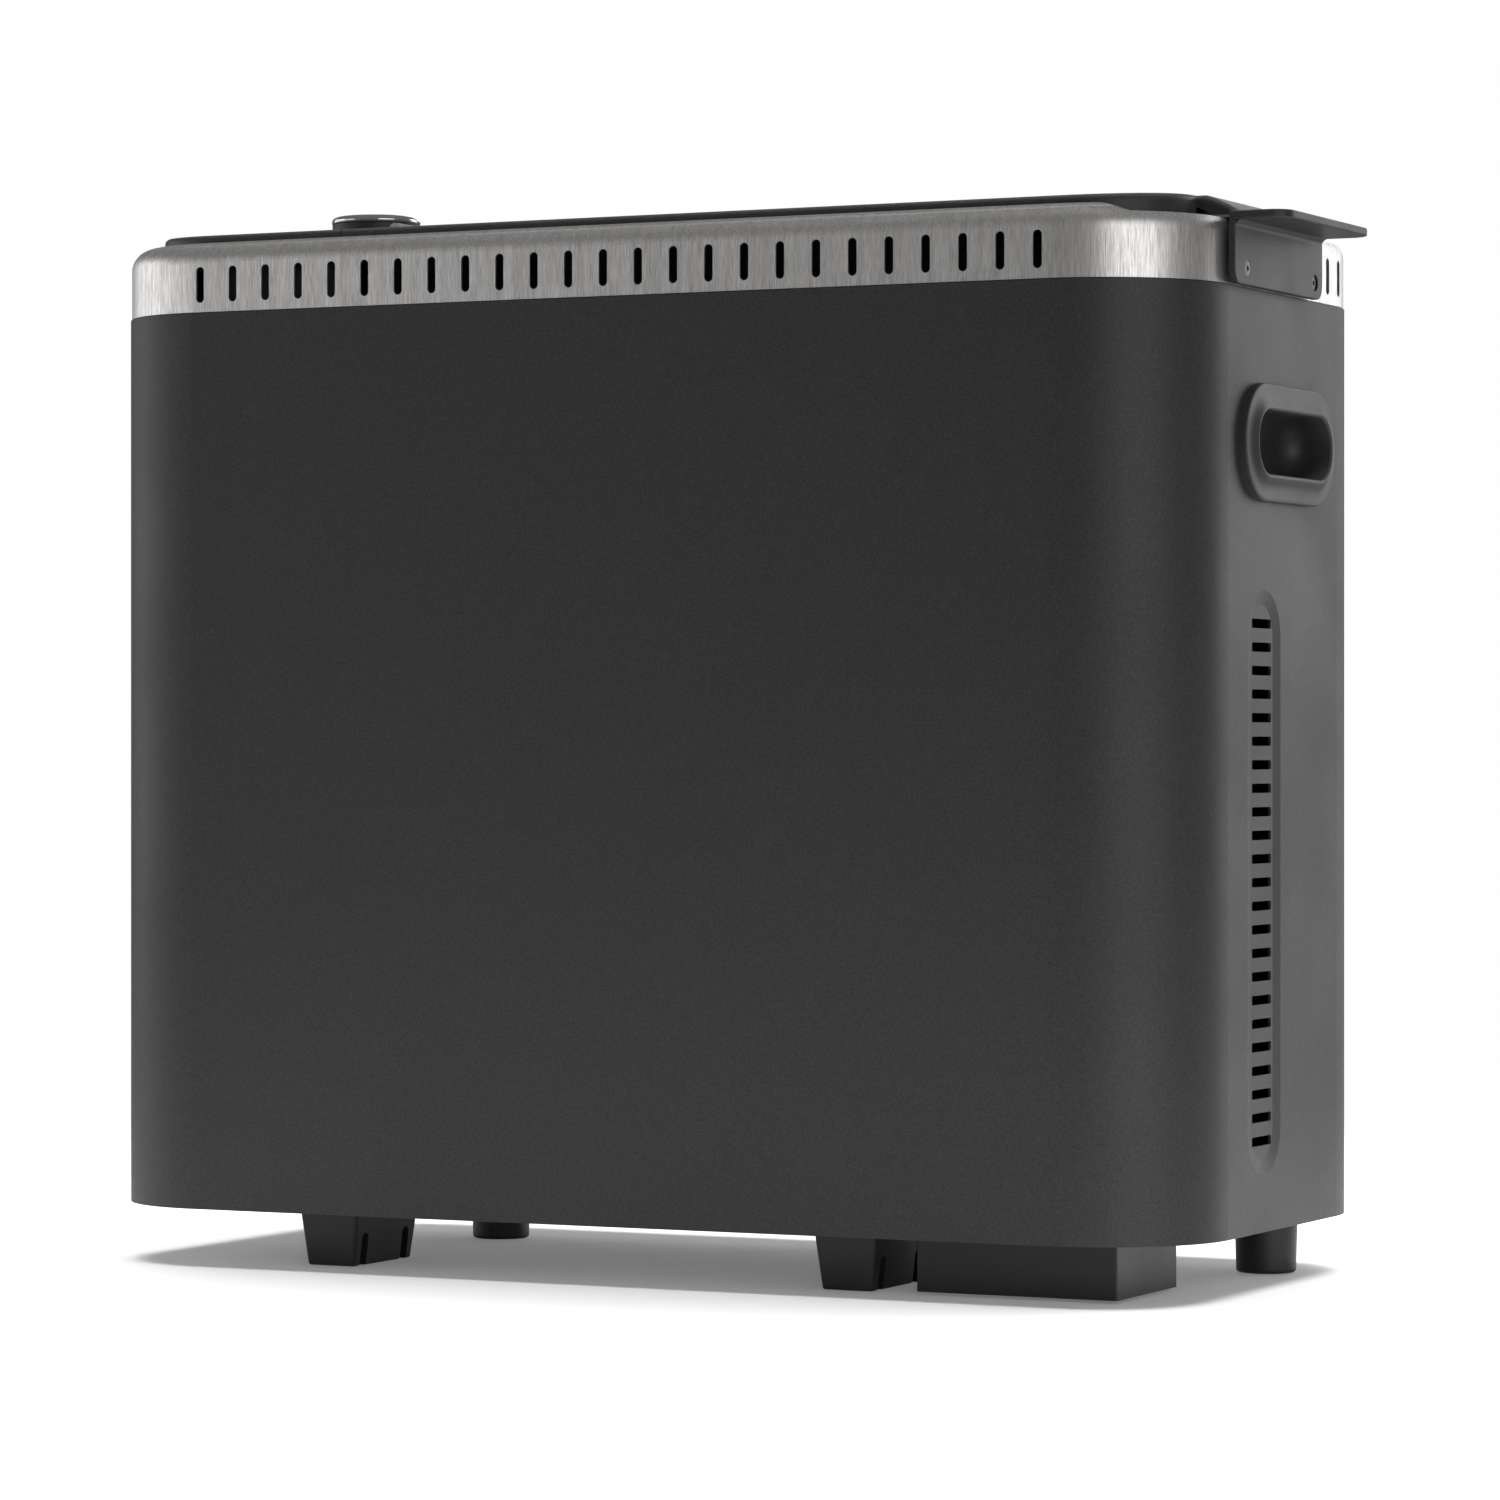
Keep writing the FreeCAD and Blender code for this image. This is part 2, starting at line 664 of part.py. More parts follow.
def make_element_bushings():
    wall = liner_left + liner_wall
    bushings = []
    for side in (-1, 1):
        y = side * element_half
        body = fuse([rod_x(liner_left - 18, wall, y, element_height, bushing_radius),
                     rod_x(wall, wall + 2.5, y, element_height, bushing_radius + 2.5)])
        bushings.append(body.cut(rod_x(liner_left - 20, wall + 4, y, element_height, element_radius)))
    return group(bushings)


def make_element_supports():
    """Two upright strips that hold the heater and carry the chip tray."""
    floor = liner_bottom + liner_wall
    strips = []
    for x in support_places:
        strip = fuse([block(x, x + sheet, -element_half - 12, element_half + 12, floor, tray_bottom),
                      block(x, x + 12, -element_half - 12, element_half + 12, floor, floor + sheet)])
        strips.append(cut(strip, bushing_rods(x - 1, x + 2, element_radius + running_gap)))
    return group(strips)


def make_chip_tray():
    x = tray_x
    length, width, depth = tray_size
    outer = rounded_prism(x - length / 2, x + length / 2, -width / 2, width / 2, tray_bottom, tray_bottom + depth, 8)
    inner = rounded_prism(x - length / 2 + sheet, x + length / 2 - sheet, -width / 2 + sheet, width / 2 - sheet,
                          tray_bottom + sheet, tray_bottom + depth + 1, 8 - sheet)
    return outer.cut(inner)


def wall_rails(height, x0, x1):
    """A pair of angle rails on the chamber's long walls, with their shelf at the given height."""
    wall = liner_half - liner_wall
    rails = []
    for side in (-1, 1):
        upright_y = sorted((side * (wall - sheet), side * wall))
        shelf_y = sorted((side * (wall - 12), side * wall))
        rails.append(fuse([block(x0, x1, upright_y[0], upright_y[1], height - 12, height),
                           block(x0, x1, shelf_y[0], shelf_y[1], height - sheet, height)]))
    return rails


def make_water_pan():
    x0, x1 = liner_left + pan_end_gap, liner_right - pan_end_gap
    y = liner_half - pan_side_gap
    corner = 16.0
    top = pan_ledge_height + sheet
    body = rounded_prism(x0, x1, -y, y, top - pan_depth, top, corner)
    rim = rounded_prism(x0 - pan_rim, x1 + pan_rim, -y - pan_rim, y + pan_rim, pan_ledge_height, top,
                        corner + pan_rim)
    inner = rounded_prism(x0 + sheet, x1 - sheet, -y + sheet, y - sheet, top - pan_depth + sheet, top + 1,
                          corner - sheet)
    return fuse([body, rim]).cut(inner)


def make_rack(height):
    """Wire rack: a round-cornered frame with straight cross wires on it."""
    wire, bar = 2.5, 1.5
    x0 = liner_left + liner_wall + rack_end_gap + wire
    x1 = liner_right - liner_wall - rack_end_gap - wire
    y = liner_half - liner_wall - 7.5
    z = height + wire
    loop = rounded_wire(x1 - x0, 2 * y, 18)
    loop.translate(Vector((x0 + x1) / 2, 0, z))
    start = Part.Wire([Part.Circle(Vector(x1, 0, z), Vector(0, 1, 0), wire).toShape()])
    middle = Part.Wire(loop.Edges)
    frame = middle.makePipeShell([start], True, False)
    count = 20
    pitch = (x1 - x0) / count
    bars = [rod_y(-y - 1, y + 1, x0 + pitch * i, z + wire, bar) for i in range(2, count - 1)]
    return fuse([frame] + bars)


# ---- electrical bay -----------------------------------------------------------------------------
def make_bay_shield():
    y = half_width - 8
    shield = fuse([block(shield_x, shield_x + 1, -y, y, base_top, case_top - 4.5),
                   block(shield_x, shield_x + 13, -y, y, base_top, base_top + 1)])
    holes = bushing_rods(shield_x - 1, shield_x + 2, bushing_radius + 1)
    holes.append(rod_x(shield_x - 1, shield_x + 2, 0, probe_z, 6.0))
    return cut(shield, holes)


def make_thermostat():
    body = block(dial_x - 21, dial_x + 21, -22, 22, plate_bottom - 38, plate_bottom - 6)
    body = rounded(body, 2.0, lambda e: not level(e, e.BoundBox.ZMin))
    shoulder = rod(dial_x, 0, plate_bottom - 6, plate_bottom, 9.0)
    neck = rod(dial_x, 0, plate_bottom - 6, plate_top + 5, neck_radius)
    tabs = [block(dial_x + dx - 3, dial_x + dx + 3, -0.4, 0.4, plate_bottom - 47, plate_bottom - 38)
            for dx in (-12, 0, 12)]
    whole = fuse([body, shoulder, neck] + tabs)
    return whole.cut(rod(dial_x, 0, plate_bottom - 20, plate_top + 6, spindle_radius + running_gap))


def hexagon(x, y, z0, z1, flat):
    corner = flat / math.sqrt(3)
    points = [Vector(x + corner * math.cos(math.radians(a)), y + corner * math.sin(math.radians(a)), z0)
              for a in range(0, 361, 60)]
    return Part.Face(Part.makePolygon(points)).extrude(Vector(0, 0, z1 - z0))


def make_thermostat_nut():
    nut = hexagon(dial_x, 0, plate_top, plate_top + 3, 14)
    return nut.cut(rod(dial_x, 0, plate_top - 1, plate_top + 4, neck_radius))


def make_probe():
    return fuse([rod_x(liner_left - 24, liner_left + 60, 0, probe_z, probe_radius),
                 rod_x(liner_left - 3, liner_left + liner_wall, 0, probe_z, 5.0),
                 rod_x(liner_left + liner_wall, liner_left + liner_wall + 2, 0, probe_z, 8.0)])


def make_terminal_block():
    deep, wide, tall = terminal_size
    x0 = shield_x - deep
    body = block(x0, shield_x, -wide / 2, wide / 2, terminal_z, terminal_z + tall)
    pitch = wide / 5.4
    pockets = [block(x0 - 1, x0 + deep / 2, i * pitch - pitch / 3, i * pitch + pitch / 3,
                     terminal_z + 4, terminal_z + tall - 4) for i in range(-2, 3)]
    return cut(body, pockets)


def make_inlet():
    """Appliance inlet: flange outside, shrouded socket with three pins."""
    x = -half_length
    flange = end_prism(x - 1.5, x, inlet_y, inlet_z, 50, 23, 6)
    body = end_prism(x, x + 26, inlet_y, inlet_z, inlet_size[0], inlet_size[1], 2)
    socket = end_prism(x - 2, x + 15, inlet_y, inlet_z, inlet_size[0] - 3, inlet_size[1] - 4, 2.5)
    screw_holes = [rod_x(x - 2, x + 1, inlet_y + dy, inlet_z, screw_radius)
                   for dy in (-inlet_screw_reach, inlet_screw_reach)]
    pins = [block(x + 1, x + 32, inlet_y + dy - 1, inlet_y + dy + 1, inlet_z + dz - 2, inlet_z + dz + 2)
            for dy, dz in ((-7, -2), (0, 2), (7, -2))]
    return fuse([cut(fuse([flange, body]), [socket] + screw_holes)] + pins)


def make_inlet_screws():
    x = -half_length
    return group([fuse([rod_x(x - 3, x - 1.5, inlet_y + dy, inlet_z, 3.0),
                        rod_x(x - 1.5, x, inlet_y + dy, inlet_z, screw_radius)])
                  for dy in (-inlet_screw_reach, inlet_screw_reach)])


# ---- hand holds ---------------------------------------------------------------------------------
def make_hand_hold():
    """Bezel that sweeps up to a lip, with a round-bottomed cup for the fingers behind it."""
    steps = ((0.0, 0.0), (hold_rim - 0.6, 0.0), (hold_rim, 0.6), (hold_rim + 0.3, 3.0), (hold_rim + 0.8, 5.4),
             (hold_proud - 0.8, 7.2), (hold_proud - 0.2, 8.0), (hold_proud, 8.6))
    layers = []
    for (h0, in0), (h1, in1) in zip(steps, steps[1:]):
        layers.append(end_loft([
            (half_length + h, 0, hold_z, hold_length - 2 * inset, hold_tall - 2 * inset, hold_tall / 2 - inset)
            for h, inset in ((h0, in0), (h1, in1))]))
    back = half_length - hold_depth
    cup = end_prism(back, half_length, 0, hold_z, cup_length, cup_tall, cup_tall / 2)
    cup = rounded(cup, hold_round + hold_wall, lambda e: e.BoundBox.XMax < back + 0.1)
    floor = back + hold_wall
    scoop = end_prism(floor, half_length + hold_proud + 1, 0, hold_z, hold_open_length, hold_open_tall,
                      hold_open_tall / 2)
    scoop = rounded(scoop, hold_round, lambda e: e.BoundBox.XMax < floor + 0.1)
    return fuse(layers + [cup]).cut(scoop)


def make_hold_retainer():
    x = half_length - case_wall
    ring = end_prism(x - 1.5, x, 0, hold_z, hold_length - 10, hold_tall - 4, hold_tall / 2 - 2)
    return ring.cut(end_prism(x - 2, x + 1, 0, hold_z, cup_length, cup_tall, cup_tall / 2))


# ---- deck and lid -------------------------------------------------------------------------------
def crown_cylinder(drop):
    reach = half_length + 20
    return rod_x(-reach, reach, 0, crown_top - crown_radius, crown_radius - drop)


def cap_solid(z0, x0, x1):
    whole = case_prism(cap_inset, z0, crown_top + 2).common(crown_cylinder(0))
    whole = rounded(whole, cap_round, lambda e: e.BoundBox.ZMin > cap_edge - 0.1)
    return whole.common(block(x0, x1, -half_width, half_width, z0, crown_top + 2))


def cap_hollow(z0, x0, x1):
    whole = case_prism(cap_inset + cap_wall, z0 - 1, crown_top).common(crown_cylinder(cap_top))
    return whole.common(block(x0, x1, -half_width, half_width, z0 - 1, crown_top + 2))


def hinge_channel():
    return [rod_y(-knuckle_span / 2 - 0.6, knuckle_span / 2 + 0.6, hinge_x, hinge_z, knuckle_radius + 0.5)]


def leaf_pocket(side):
    x0, x1 = sorted((hinge_x, hinge_x + side * (leaf_width + 0.3)))
    return block(x0, x1, -knuckle_span / 2 - 0.3, knuckle_span / 2 + 0.3, leaf_bottom, crown_top + 1)


def leaf_screw_holes(side):
    return [rod(hinge_x + side * leaf_screw_reach, y, leaf_bottom - 6, crown_top, screw_radius) for y in leaf_screw_y]


def make_deck():
    left = -half_length
    shell = cap_solid(plate_top, left, deck_end)
    shell = shell.cut(cap_hollow(plate_top, left, deck_end - cap_wall))
    pad = block(deck_end - leaf_width - 4, deck_end - 1, -knuckle_span / 2 - 3, knuckle_span / 2 + 3,
                leaf_bottom - 5, leaf_bottom + 1)
    shell = fuse([shell, pad])
    hole = rod(dial_x, 0, plate_top, crown_top + 2, spindle_radius + 1)
    return cut(shell, [hole, leaf_pocket(-1)] + hinge_channel() + leaf_screw_holes(-1))


def lid_screw_places():
    inset = 18
    return [(x, side * (liner_half - inset)) for x in (liner_left + inset, liner_right - inset) for side in (-1, 1)]


def make_lid_shell():
    right = half_length
    shell = cap_solid(lid_bottom, lid_start, right)
    shell = shell.cut(cap_hollow(lid_bottom, lid_start + cap_wall, right))
    pad = block(lid_start + 1, lid_start + leaf_width + 4, -knuckle_span / 2 - 3, knuckle_span / 2 + 3,
                leaf_bottom - 5, leaf_bottom + 1)
    bosses = [rod(x, y, liner_plate + 1, crown_top - 4, 4.0) for x, y in lid_screw_places()]
    shell = fuse([shell, pad] + bosses)
    opening = block(cap_end - cap_wall - 0.3, cap_end + 1, cut_near, cut_far, lid_bottom - 1, crown_top + 1)
    screws = [rod(x, y, liner_plate, crown_top - 6, screw_radius) for x, y in lid_screw_places()]
    return cut(shell, [opening, leaf_pocket(1)] + hinge_channel() + leaf_screw_holes(1) + screws)


def lid_plate_prism(grow, z0, z1):
    """Outline of the lid's inner plate: it follows the inside of the lid shell."""
    x0 = lid_start + cap_wall + 0.5 - grow
    x1 = cap_end - cap_wall - 1.0 + grow
    y = cap_half - cap_wall - 1.0 + grow
    return rounded_prism(x0, x1, -y, y, z0, z1, corner_radius - cap_inset - cap_wall - 1.0 + grow)


def make_lid_liner():
    plate = lid_plate_prism(0, liner_plate, liner_plate + 1)
    holes = [rod(x, y, liner_plate - 1, liner_plate + 2, screw_radius) for x, y in lid_screw_places()]
    holes += [rod(x, y, liner_plate - 1, liner_plate + 2, screw_radius) for x, y in rivet_places()]
    return cut(plate, holes)


def make_lid_insulation():
    wool = lid_plate_prism(-10, liner_plate + 1, crown_top - 6.6)
    wool = wool.common(crown_cylinder(cap_top + 0.4))
    wool = wool.cut(block(lid_start, lid_start + leaf_width + 5, -knuckle_span / 2 - 4, knuckle_span / 2 + 4,
                          leaf_bottom - 5.5, crown_top))
    return cut(wool, [rod(x, y, liner_plate, crown_top, 4.3) for x, y in lid_screw_places()])


def make_lid_seal():
    """Rubber ring that stops just above the rim plate, round the chamber opening."""
    z0 = plate_top + 0.3
    outer = chamber_prism(-5, z0, liner_plate)
    return outer.cut(chamber_prism(0, z0 - 1, liner_plate + 1))


def make_lid_screws():
    return group([fuse([rod(x, y, liner_plate - 1.6, liner_plate, 3.5),
                        rod(x, y, liner_plate, crown_top - 7, screw_radius)]) for x, y in lid_screw_places()])


def rivet_places():
    return [(cap_end - cap_wall - 4.0, y) for y in (cut_near + 13, cut_far - 13)]


def make_arm_rivets():
    return group([fuse([rod(x, y, arm_bottom - 0.8, arm_bottom, 2.8),
                        rod(x, y, arm_bottom, liner_plate + 1, screw_radius),
                        rod(x, y, liner_plate + 1, liner_plate + 1.8, 2.8)]) for x, y in rivet_places()])


def make_lid_arm():
    """Bent steel strap: out through the lid's end, over the collar and down behind the handle plate."""
    y0, y1 = cut_near + arm_side_gap, cut_far - arm_side_gap - 2
    flat = block(cap_end - cap_wall - 8, plate_face, y0, y1, arm_bottom, arm_top)
    drop = block(arm_face, plate_face, y0, y1, case_top + arm_inset, arm_top)
    holes = [rod(x, y, arm_bottom - 1, arm_top + 1, screw_radius) for x, y in rivet_places()]
    holes += [rod_x(arm_face - 1, plate_face + 1, y, handle_screw_z, screw_radius) for y in handle_screw_y]
    return cut(fuse([flat, drop]), holes)


def make_brow():
    """Bridge from the lid's crown down to the tab, over the steel strap."""
    back = cap_end - cap_wall - 0.1
    foot = plate_out
    crest = crown_top + 1
    brow = side_profile([
        (back, arm_top),
        (back, crest),
        (back + 1.5, crest),
        ((back + 1.5, crown_top - 0.2), (back + 12.0, crown_top - 3.6), (foot, tab_top - 0.2)),
        (foot, arm_top),
    ], cut_near + 0.5, cut_far - 0.5)
    brow = brow.common(crown_cylinder(0.3))
    sides = (cut_near + 0.5, cut_far - 0.5)
    edges = [e for e in brow.Edges if e.BoundBox.XLength > 1 and e.BoundBox.ZMax > tab_top + 0.5
             and any(abs(e.BoundBox.YMin - y) < 0.01 and abs(e.BoundBox.YMax - y) < 0.01 for y in sides)]
    return brow.makeFillet(brow_round, edges)


def make_handle():
    """Grip: a plate with a tab along its top and a brow that runs back to the lid's crown."""
    y_mid = (handle_near + handle_far) / 2
    width = handle_far - handle_near
    bottom = case_top + seam
    reach = half_length + tab_reach
    plate = end_prism(plate_face, plate_out, y_mid, (bottom + tab_top + 20) / 2, width, tab_top + 20 - bottom,
                      plate_corner)
    plate = plate.common(block(0, plate_out + 1, handle_near, handle_far, 0, tab_top - 0.5))
    plate = rounded(plate, 0.6, lambda e: e.BoundBox.XMin > plate_out - 0.01 and e.BoundBox.ZMax < tab_bottom)
    tab = rounded_prism(plate_face - 30, reach, handle_near, handle_far, tab_bottom, tab_top, tab_corner)
    tab = tab.common(block(plate_face, reach, handle_near, handle_far, 0, tab_top))
    tab = rounded(tab, 0.8, lambda e: level(e, tab_top) or level(e, tab_bottom))
    bend = 3.0
    web = side_profile([
        (plate_out - 1, tab_bottom + 1),
        (plate_out - 1, tab_bottom - bend),
        ((plate_out, tab_bottom - bend),
         (plate_out + bend * (1 - math.sqrt(0.5)), tab_bottom - bend * (1 - math.sqrt(0.5))),
         (plate_out + bend, tab_bottom)),
        (plate_out + bend, tab_bottom + 1),
    ], handle_near + 1, handle_far - 1)
    back = cap_end - cap_wall + 0.8
    low = tab_top + 0.2
    long, deep, tall = notch_size
    corner = Vector(back, cut_near, low)
    notch = Part.Face(Part.makePolygon([
        corner, Vector(back, cut_near, low + tall), Vector(back + long, cut_near, low), corner,
    ])).extrude(Vector(0, deep, 0))
    solid = fuse([plate, tab, web, make_brow().cut(notch)])
    holes = []
    for y in handle_screw_y:
        holes.append(rod_x(plate_face - 1, plate_out + 1, y, handle_screw_z, screw_radius + 0.1))
        holes.append(rod_x(plate_out - head_seat, plate_out + 1, y, handle_screw_z, screw_head[0] + 0.2))
    return cut(solid, holes)


def make_handle_screws():
    """One head flush with the plate, the other sunk in its counterbore."""
    seat = plate_out - head_seat
    screws = []
    for y, head in zip(handle_screw_y, screw_head[1:]):
        screw = fuse([rod_x(arm_face, seat, y, handle_screw_z, screw_radius),
                      rod_x(seat, seat + head, y, handle_screw_z, screw_head[0])])
        screws.append(screw.cut(hex_key(seat + head, y)))
    return group(screws)


def hex_key(x, y):
    return end_prism(x - 0.6, x + 1, y, handle_screw_z, 2.2, 2.2, 1.0)


# ---- hinge --------------------------------------------------------------------------------------
def knuckles(parity, extra_gap):
    """Every second knuckle of the barrel, as (y0, y1) pairs."""
    pitch = knuckle_span / knuckle_count
    spans = []
    for i in range(knuckle_count):
        if i % 2 == parity:
            y0 = -knuckle_span / 2 + i * pitch
            spans.append((y0 + knuckle_gap / 2 - extra_gap, y0 + pitch - knuckle_gap / 2 + extra_gap))
    return spans


def make_leaf(side, parity, bore):
    x0, x1 = sorted((hinge_x, hinge_x + side * leaf_width))
    leaf = block(x0, x1, -knuckle_span / 2, knuckle_span / 2, leaf_bottom, leaf_bottom + leaf_thickness)
    own = knuckles(parity, 0)
    clear = [rod_y(y0, y1, hinge_x, hinge_z, knuckle_radius + 0.4) for y0, y1 in knuckles(1 - parity, knuckle_gap)]
    leaf = cut(leaf, clear)
    barrels = [rod_y(y0, y1, hinge_x, hinge_z, knuckle_radius) for y0, y1 in own]
    bore_rod = rod_y(-knuckle_span / 2 - 1, knuckle_span / 2 + 1, hinge_x, hinge_z, bore)
    return cut(fuse([leaf] + barrels), [bore_rod] + leaf_screw_holes(side))


def make_leaf_screws(side):
    top = leaf_bottom + leaf_thickness
    return group([fuse([rod(hinge_x + side * leaf_screw_reach, y, leaf_bottom - 4, top, screw_radius),
                        rod(hinge_x + side * leaf_screw_reach, y, top, top + 0.9, 2.8)]) for y in leaf_screw_y])


# ---- dial ---------------------------------------------------------------------------------------
def make_dial_body():
    base = rod(dial_x, 0, dial_bottom, ring_bottom, dial_radius - 0.2)
    base = rounded(base, 0.8, lambda e: level(e, dial_bottom))
    core = rod(dial_x, 0, dial_bottom, dial_top - 0.5, face_radius)
    mark = block(dial_x - 1, dial_x + 1, face_radius - 9, face_radius - 2, dial_top - 1.1, dial_top)
    body = fuse([base, core]).cut(mark)
    return body.cut(rod(dial_x, 0, dial_bottom - 1, dial_top - 4, spindle_radius))


def make_dial_ring():
    """Bright ring with a rounded outer shoulder."""
    wall_top = ring_bottom + dial_ring_wall
    rise = dial_top - wall_top
    run = dial_ring_width - 0.4
    return turned([
        (face_radius, ring_bottom),
        (dial_radius, ring_bottom),
        ((dial_radius, wall_top), (dial_radius - 0.3 * run, wall_top + 0.72 * rise), (dial_radius - run, dial_top)),
        (face_radius, dial_top),
    ], dial_x)


def make_spindle():
    return rod(dial_x, 0, plate_bottom - 18, dial_top - 4, spindle_radius)


# ---- drip drawer --------------------------------------------------------------------------------
def make_drawer():
    """Open tray; its side walls have inward lips that ride on the rails, its far wall is low."""
    tray = block(drawer_left, drawer_right, drawer_near, drawer_far, drawer_lift, drawer_top)
    tray = rounded(tray, 1.0, lambda e: e.BoundBox.ZLength > 5)
    well = block(drawer_left + drawer_wall, drawer_right - drawer_wall, drawer_near + drawer_wall,
                 drawer_far - drawer_wall, drawer_lift + drawer_wall, drawer_top - drawer_ledge)
    mouth = block(drawer_left + drawer_wall + drawer_lip, drawer_right - drawer_wall - drawer_lip,
                  drawer_near + drawer_wall, drawer_far - drawer_wall, drawer_lift + drawer_wall, drawer_top + 1)
    rail_way = block(drawer_left + drawer_wall, drawer_right - drawer_wall, drawer_far - drawer_wall - 1,
                     drawer_far + 1, rail_foot_bottom - 0.6, drawer_top + 1)
    return cut(tray, [well, mouth, rail_way])


def make_drawer_rails():
    rails = []
    y0 = drawer_near + drawer_wall + 2
    y1 = drawer_far - drawer_wall - 3
    inner_left = drawer_left + drawer_wall
    web_left = inner_left + drawer_lip + slide_gap
    left = fuse([block(web_left, web_left + rail_width, y0, y1, base_bottom - sheet, base_bottom),
                 block(web_left, web_left + sheet, y0, y1, rail_foot_bottom, base_bottom),
                 block(inner_left + slide_gap, web_left + sheet, y0, y1, rail_foot_bottom, rail_foot_top)])
    middle = (drawer_left + drawer_right) / 2
    rails.append(left)
    rails.append(left.mirror(Vector(middle, 0, 0), Vector(1, 0, 0)))
    return group(rails)


# ---- write every piece --------------------------------------------------------------------------
def main():
    os.makedirs("parts", exist_ok=True)
    save("outer_casing", make_casing())
    save("base_pan", make_base_pan())
    save("front_foot_left", make_block_foot(block_foot_x[0]))
    save("front_foot_right", make_block_foot(block_foot_x[1]))
    save("rear_foot_left", make_round_foot(round_foot_x[0]))
    save("rear_foot_right", make_round_foot(round_foot_x[1]))
    save("foot_screws", make_foot_screws())
    save("vent_collar", make_collar())
    save("top_frame", make_top_frame())
    save("rim_plate", make_rim_plate())
    save("chamber_liner", make_liner())
    save("liner_insulation", make_insulation())
    save("liner_legs", make_liner_legs())
    save("drain_spout", make_drain_spout())
    save("heating_element", make_element())
    save("element_bushings", make_element_bushings())
    save("element_supports", make_element_supports())
    save("chip_tray", make_chip_tray())
    save("pan_ledges", group(wall_rails(pan_ledge_height, liner_left + 30, liner_right - 30)))
    save("water_pan", make_water_pan())
    rails = []
    for height in rack_heights:
        rails += wall_rails(height, liner_left + 20, liner_right - 20)
    save("rack_rails", group(rails))
    save("lower_rack", make_rack(rack_heights[0]))
    save("upper_rack", make_rack(rack_heights[1]))
    save("bay_shield", make_bay_shield())
    save("thermostat", make_thermostat())
    save("thermostat_nut", make_thermostat_nut())
    save("temperature_probe", make_probe())
    save("terminal_block", make_terminal_block())
    save("power_inlet", make_inlet())
    save("inlet_screws", make_inlet_screws())
    right_hold, left_hold = both_ends(make_hand_hold())
    save("hand_hold_right", right_hold)
    save("hand_hold_left", left_hold)
    save("hold_retainers", group(both_ends(make_hold_retainer())))
    save("control_deck", make_deck())
    save("hinge_leaf_deck", make_leaf(-1, 0, pin_radius))
    save("hinge_pin", rod_y(-knuckle_span / 2, knuckle_span / 2, hinge_x, hinge_z, pin_radius))
    save("deck_hinge_screws", make_leaf_screws(-1))
    save("lid_shell", make_lid_shell())
    save("lid_liner", make_lid_liner())
    save("lid_insulation", make_lid_insulation())
    save("lid_seal", make_lid_seal())
    save("lid_screws", make_lid_screws())
    save("lid_arm", make_lid_arm())
    save("arm_rivets", make_arm_rivets())
    save("lid_handle", make_handle())
    save("handle_screws", make_handle_screws())
    save("hinge_leaf_lid", make_leaf(1, 1, pin_radius + running_gap))
    save("lid_hinge_screws", make_leaf_screws(1))
    save("dial_body", make_dial_body())
    save("dial_ring", make_dial_ring())
    save("dial_spindle", make_spindle())
    save("drip_drawer", make_drawer())
    save("drawer_rails", make_drawer_rails())


main()
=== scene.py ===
# %% [markdown]
# # A slim cabinet smoker, dressed in Blender
#
# This notebook builds the looks of an electric cabinet smoker around a finished engineering model.
# The engineering model is fixed: it says where each part is and how the lid, the dial and the drawer
# move. Here every part gets a finish, a few get soft edges, and the hand holds and the dial are built
# again with finer curves.
# Everything is in metres, +Z is up, and the long side of the cabinet runs along X.

# %% Open the frame
import json
import math

import bmesh
import bpy
from mathutils import Matrix, Vector


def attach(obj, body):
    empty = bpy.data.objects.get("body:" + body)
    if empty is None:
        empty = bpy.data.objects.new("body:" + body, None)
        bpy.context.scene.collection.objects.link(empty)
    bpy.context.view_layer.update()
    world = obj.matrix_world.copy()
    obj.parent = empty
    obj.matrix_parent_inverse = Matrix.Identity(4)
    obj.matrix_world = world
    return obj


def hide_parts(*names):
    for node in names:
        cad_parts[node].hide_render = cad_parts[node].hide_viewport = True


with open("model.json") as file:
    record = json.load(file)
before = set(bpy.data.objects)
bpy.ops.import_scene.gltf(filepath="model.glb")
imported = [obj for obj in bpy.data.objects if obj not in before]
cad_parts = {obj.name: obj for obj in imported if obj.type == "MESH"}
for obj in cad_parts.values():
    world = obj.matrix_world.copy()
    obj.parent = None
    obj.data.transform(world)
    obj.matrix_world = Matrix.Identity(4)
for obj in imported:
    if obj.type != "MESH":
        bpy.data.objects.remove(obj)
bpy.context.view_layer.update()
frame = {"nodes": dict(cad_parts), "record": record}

nodes = frame["nodes"]
scene = bpy.context.scene
MM = 0.001
print("parts in the frame:", len(nodes))

# %% [markdown]
# ## The camera
#
# A tall box looks calm when its upright edges stay upright, so the camera is level and stands at about
# half the cabinet's height. A long lens from over two metres keeps the two visible sides close to their
# true proportions. It stands to the right of the wide side, so that the wide side fills the view and
# the narrow end with its hand hold is still seen.

# %% Place the camera
CAMERA_PLACE = (1.0811, -2.2127, 0.23315)
CAMERA_DIP = 0.062      # degrees below level
CAMERA_TURN = 26.053    # degrees to the right of the wide side
LENS_MM = 131.49

lens = bpy.data.cameras.new("camera")
lens.lens = LENS_MM
lens.sensor_width = 36.0
lens.clip_end = 50.0
camera = bpy.data.objects.new("camera", lens)
camera.location = CAMERA_PLACE
camera.rotation_euler = (math.radians(90 - CAMERA_DIP), 0, math.radians(CAMERA_TURN))
scene.collection.objects.link(camera)
scene.camera = camera
print("camera distance:", round(camera.location.length, 3), "m")

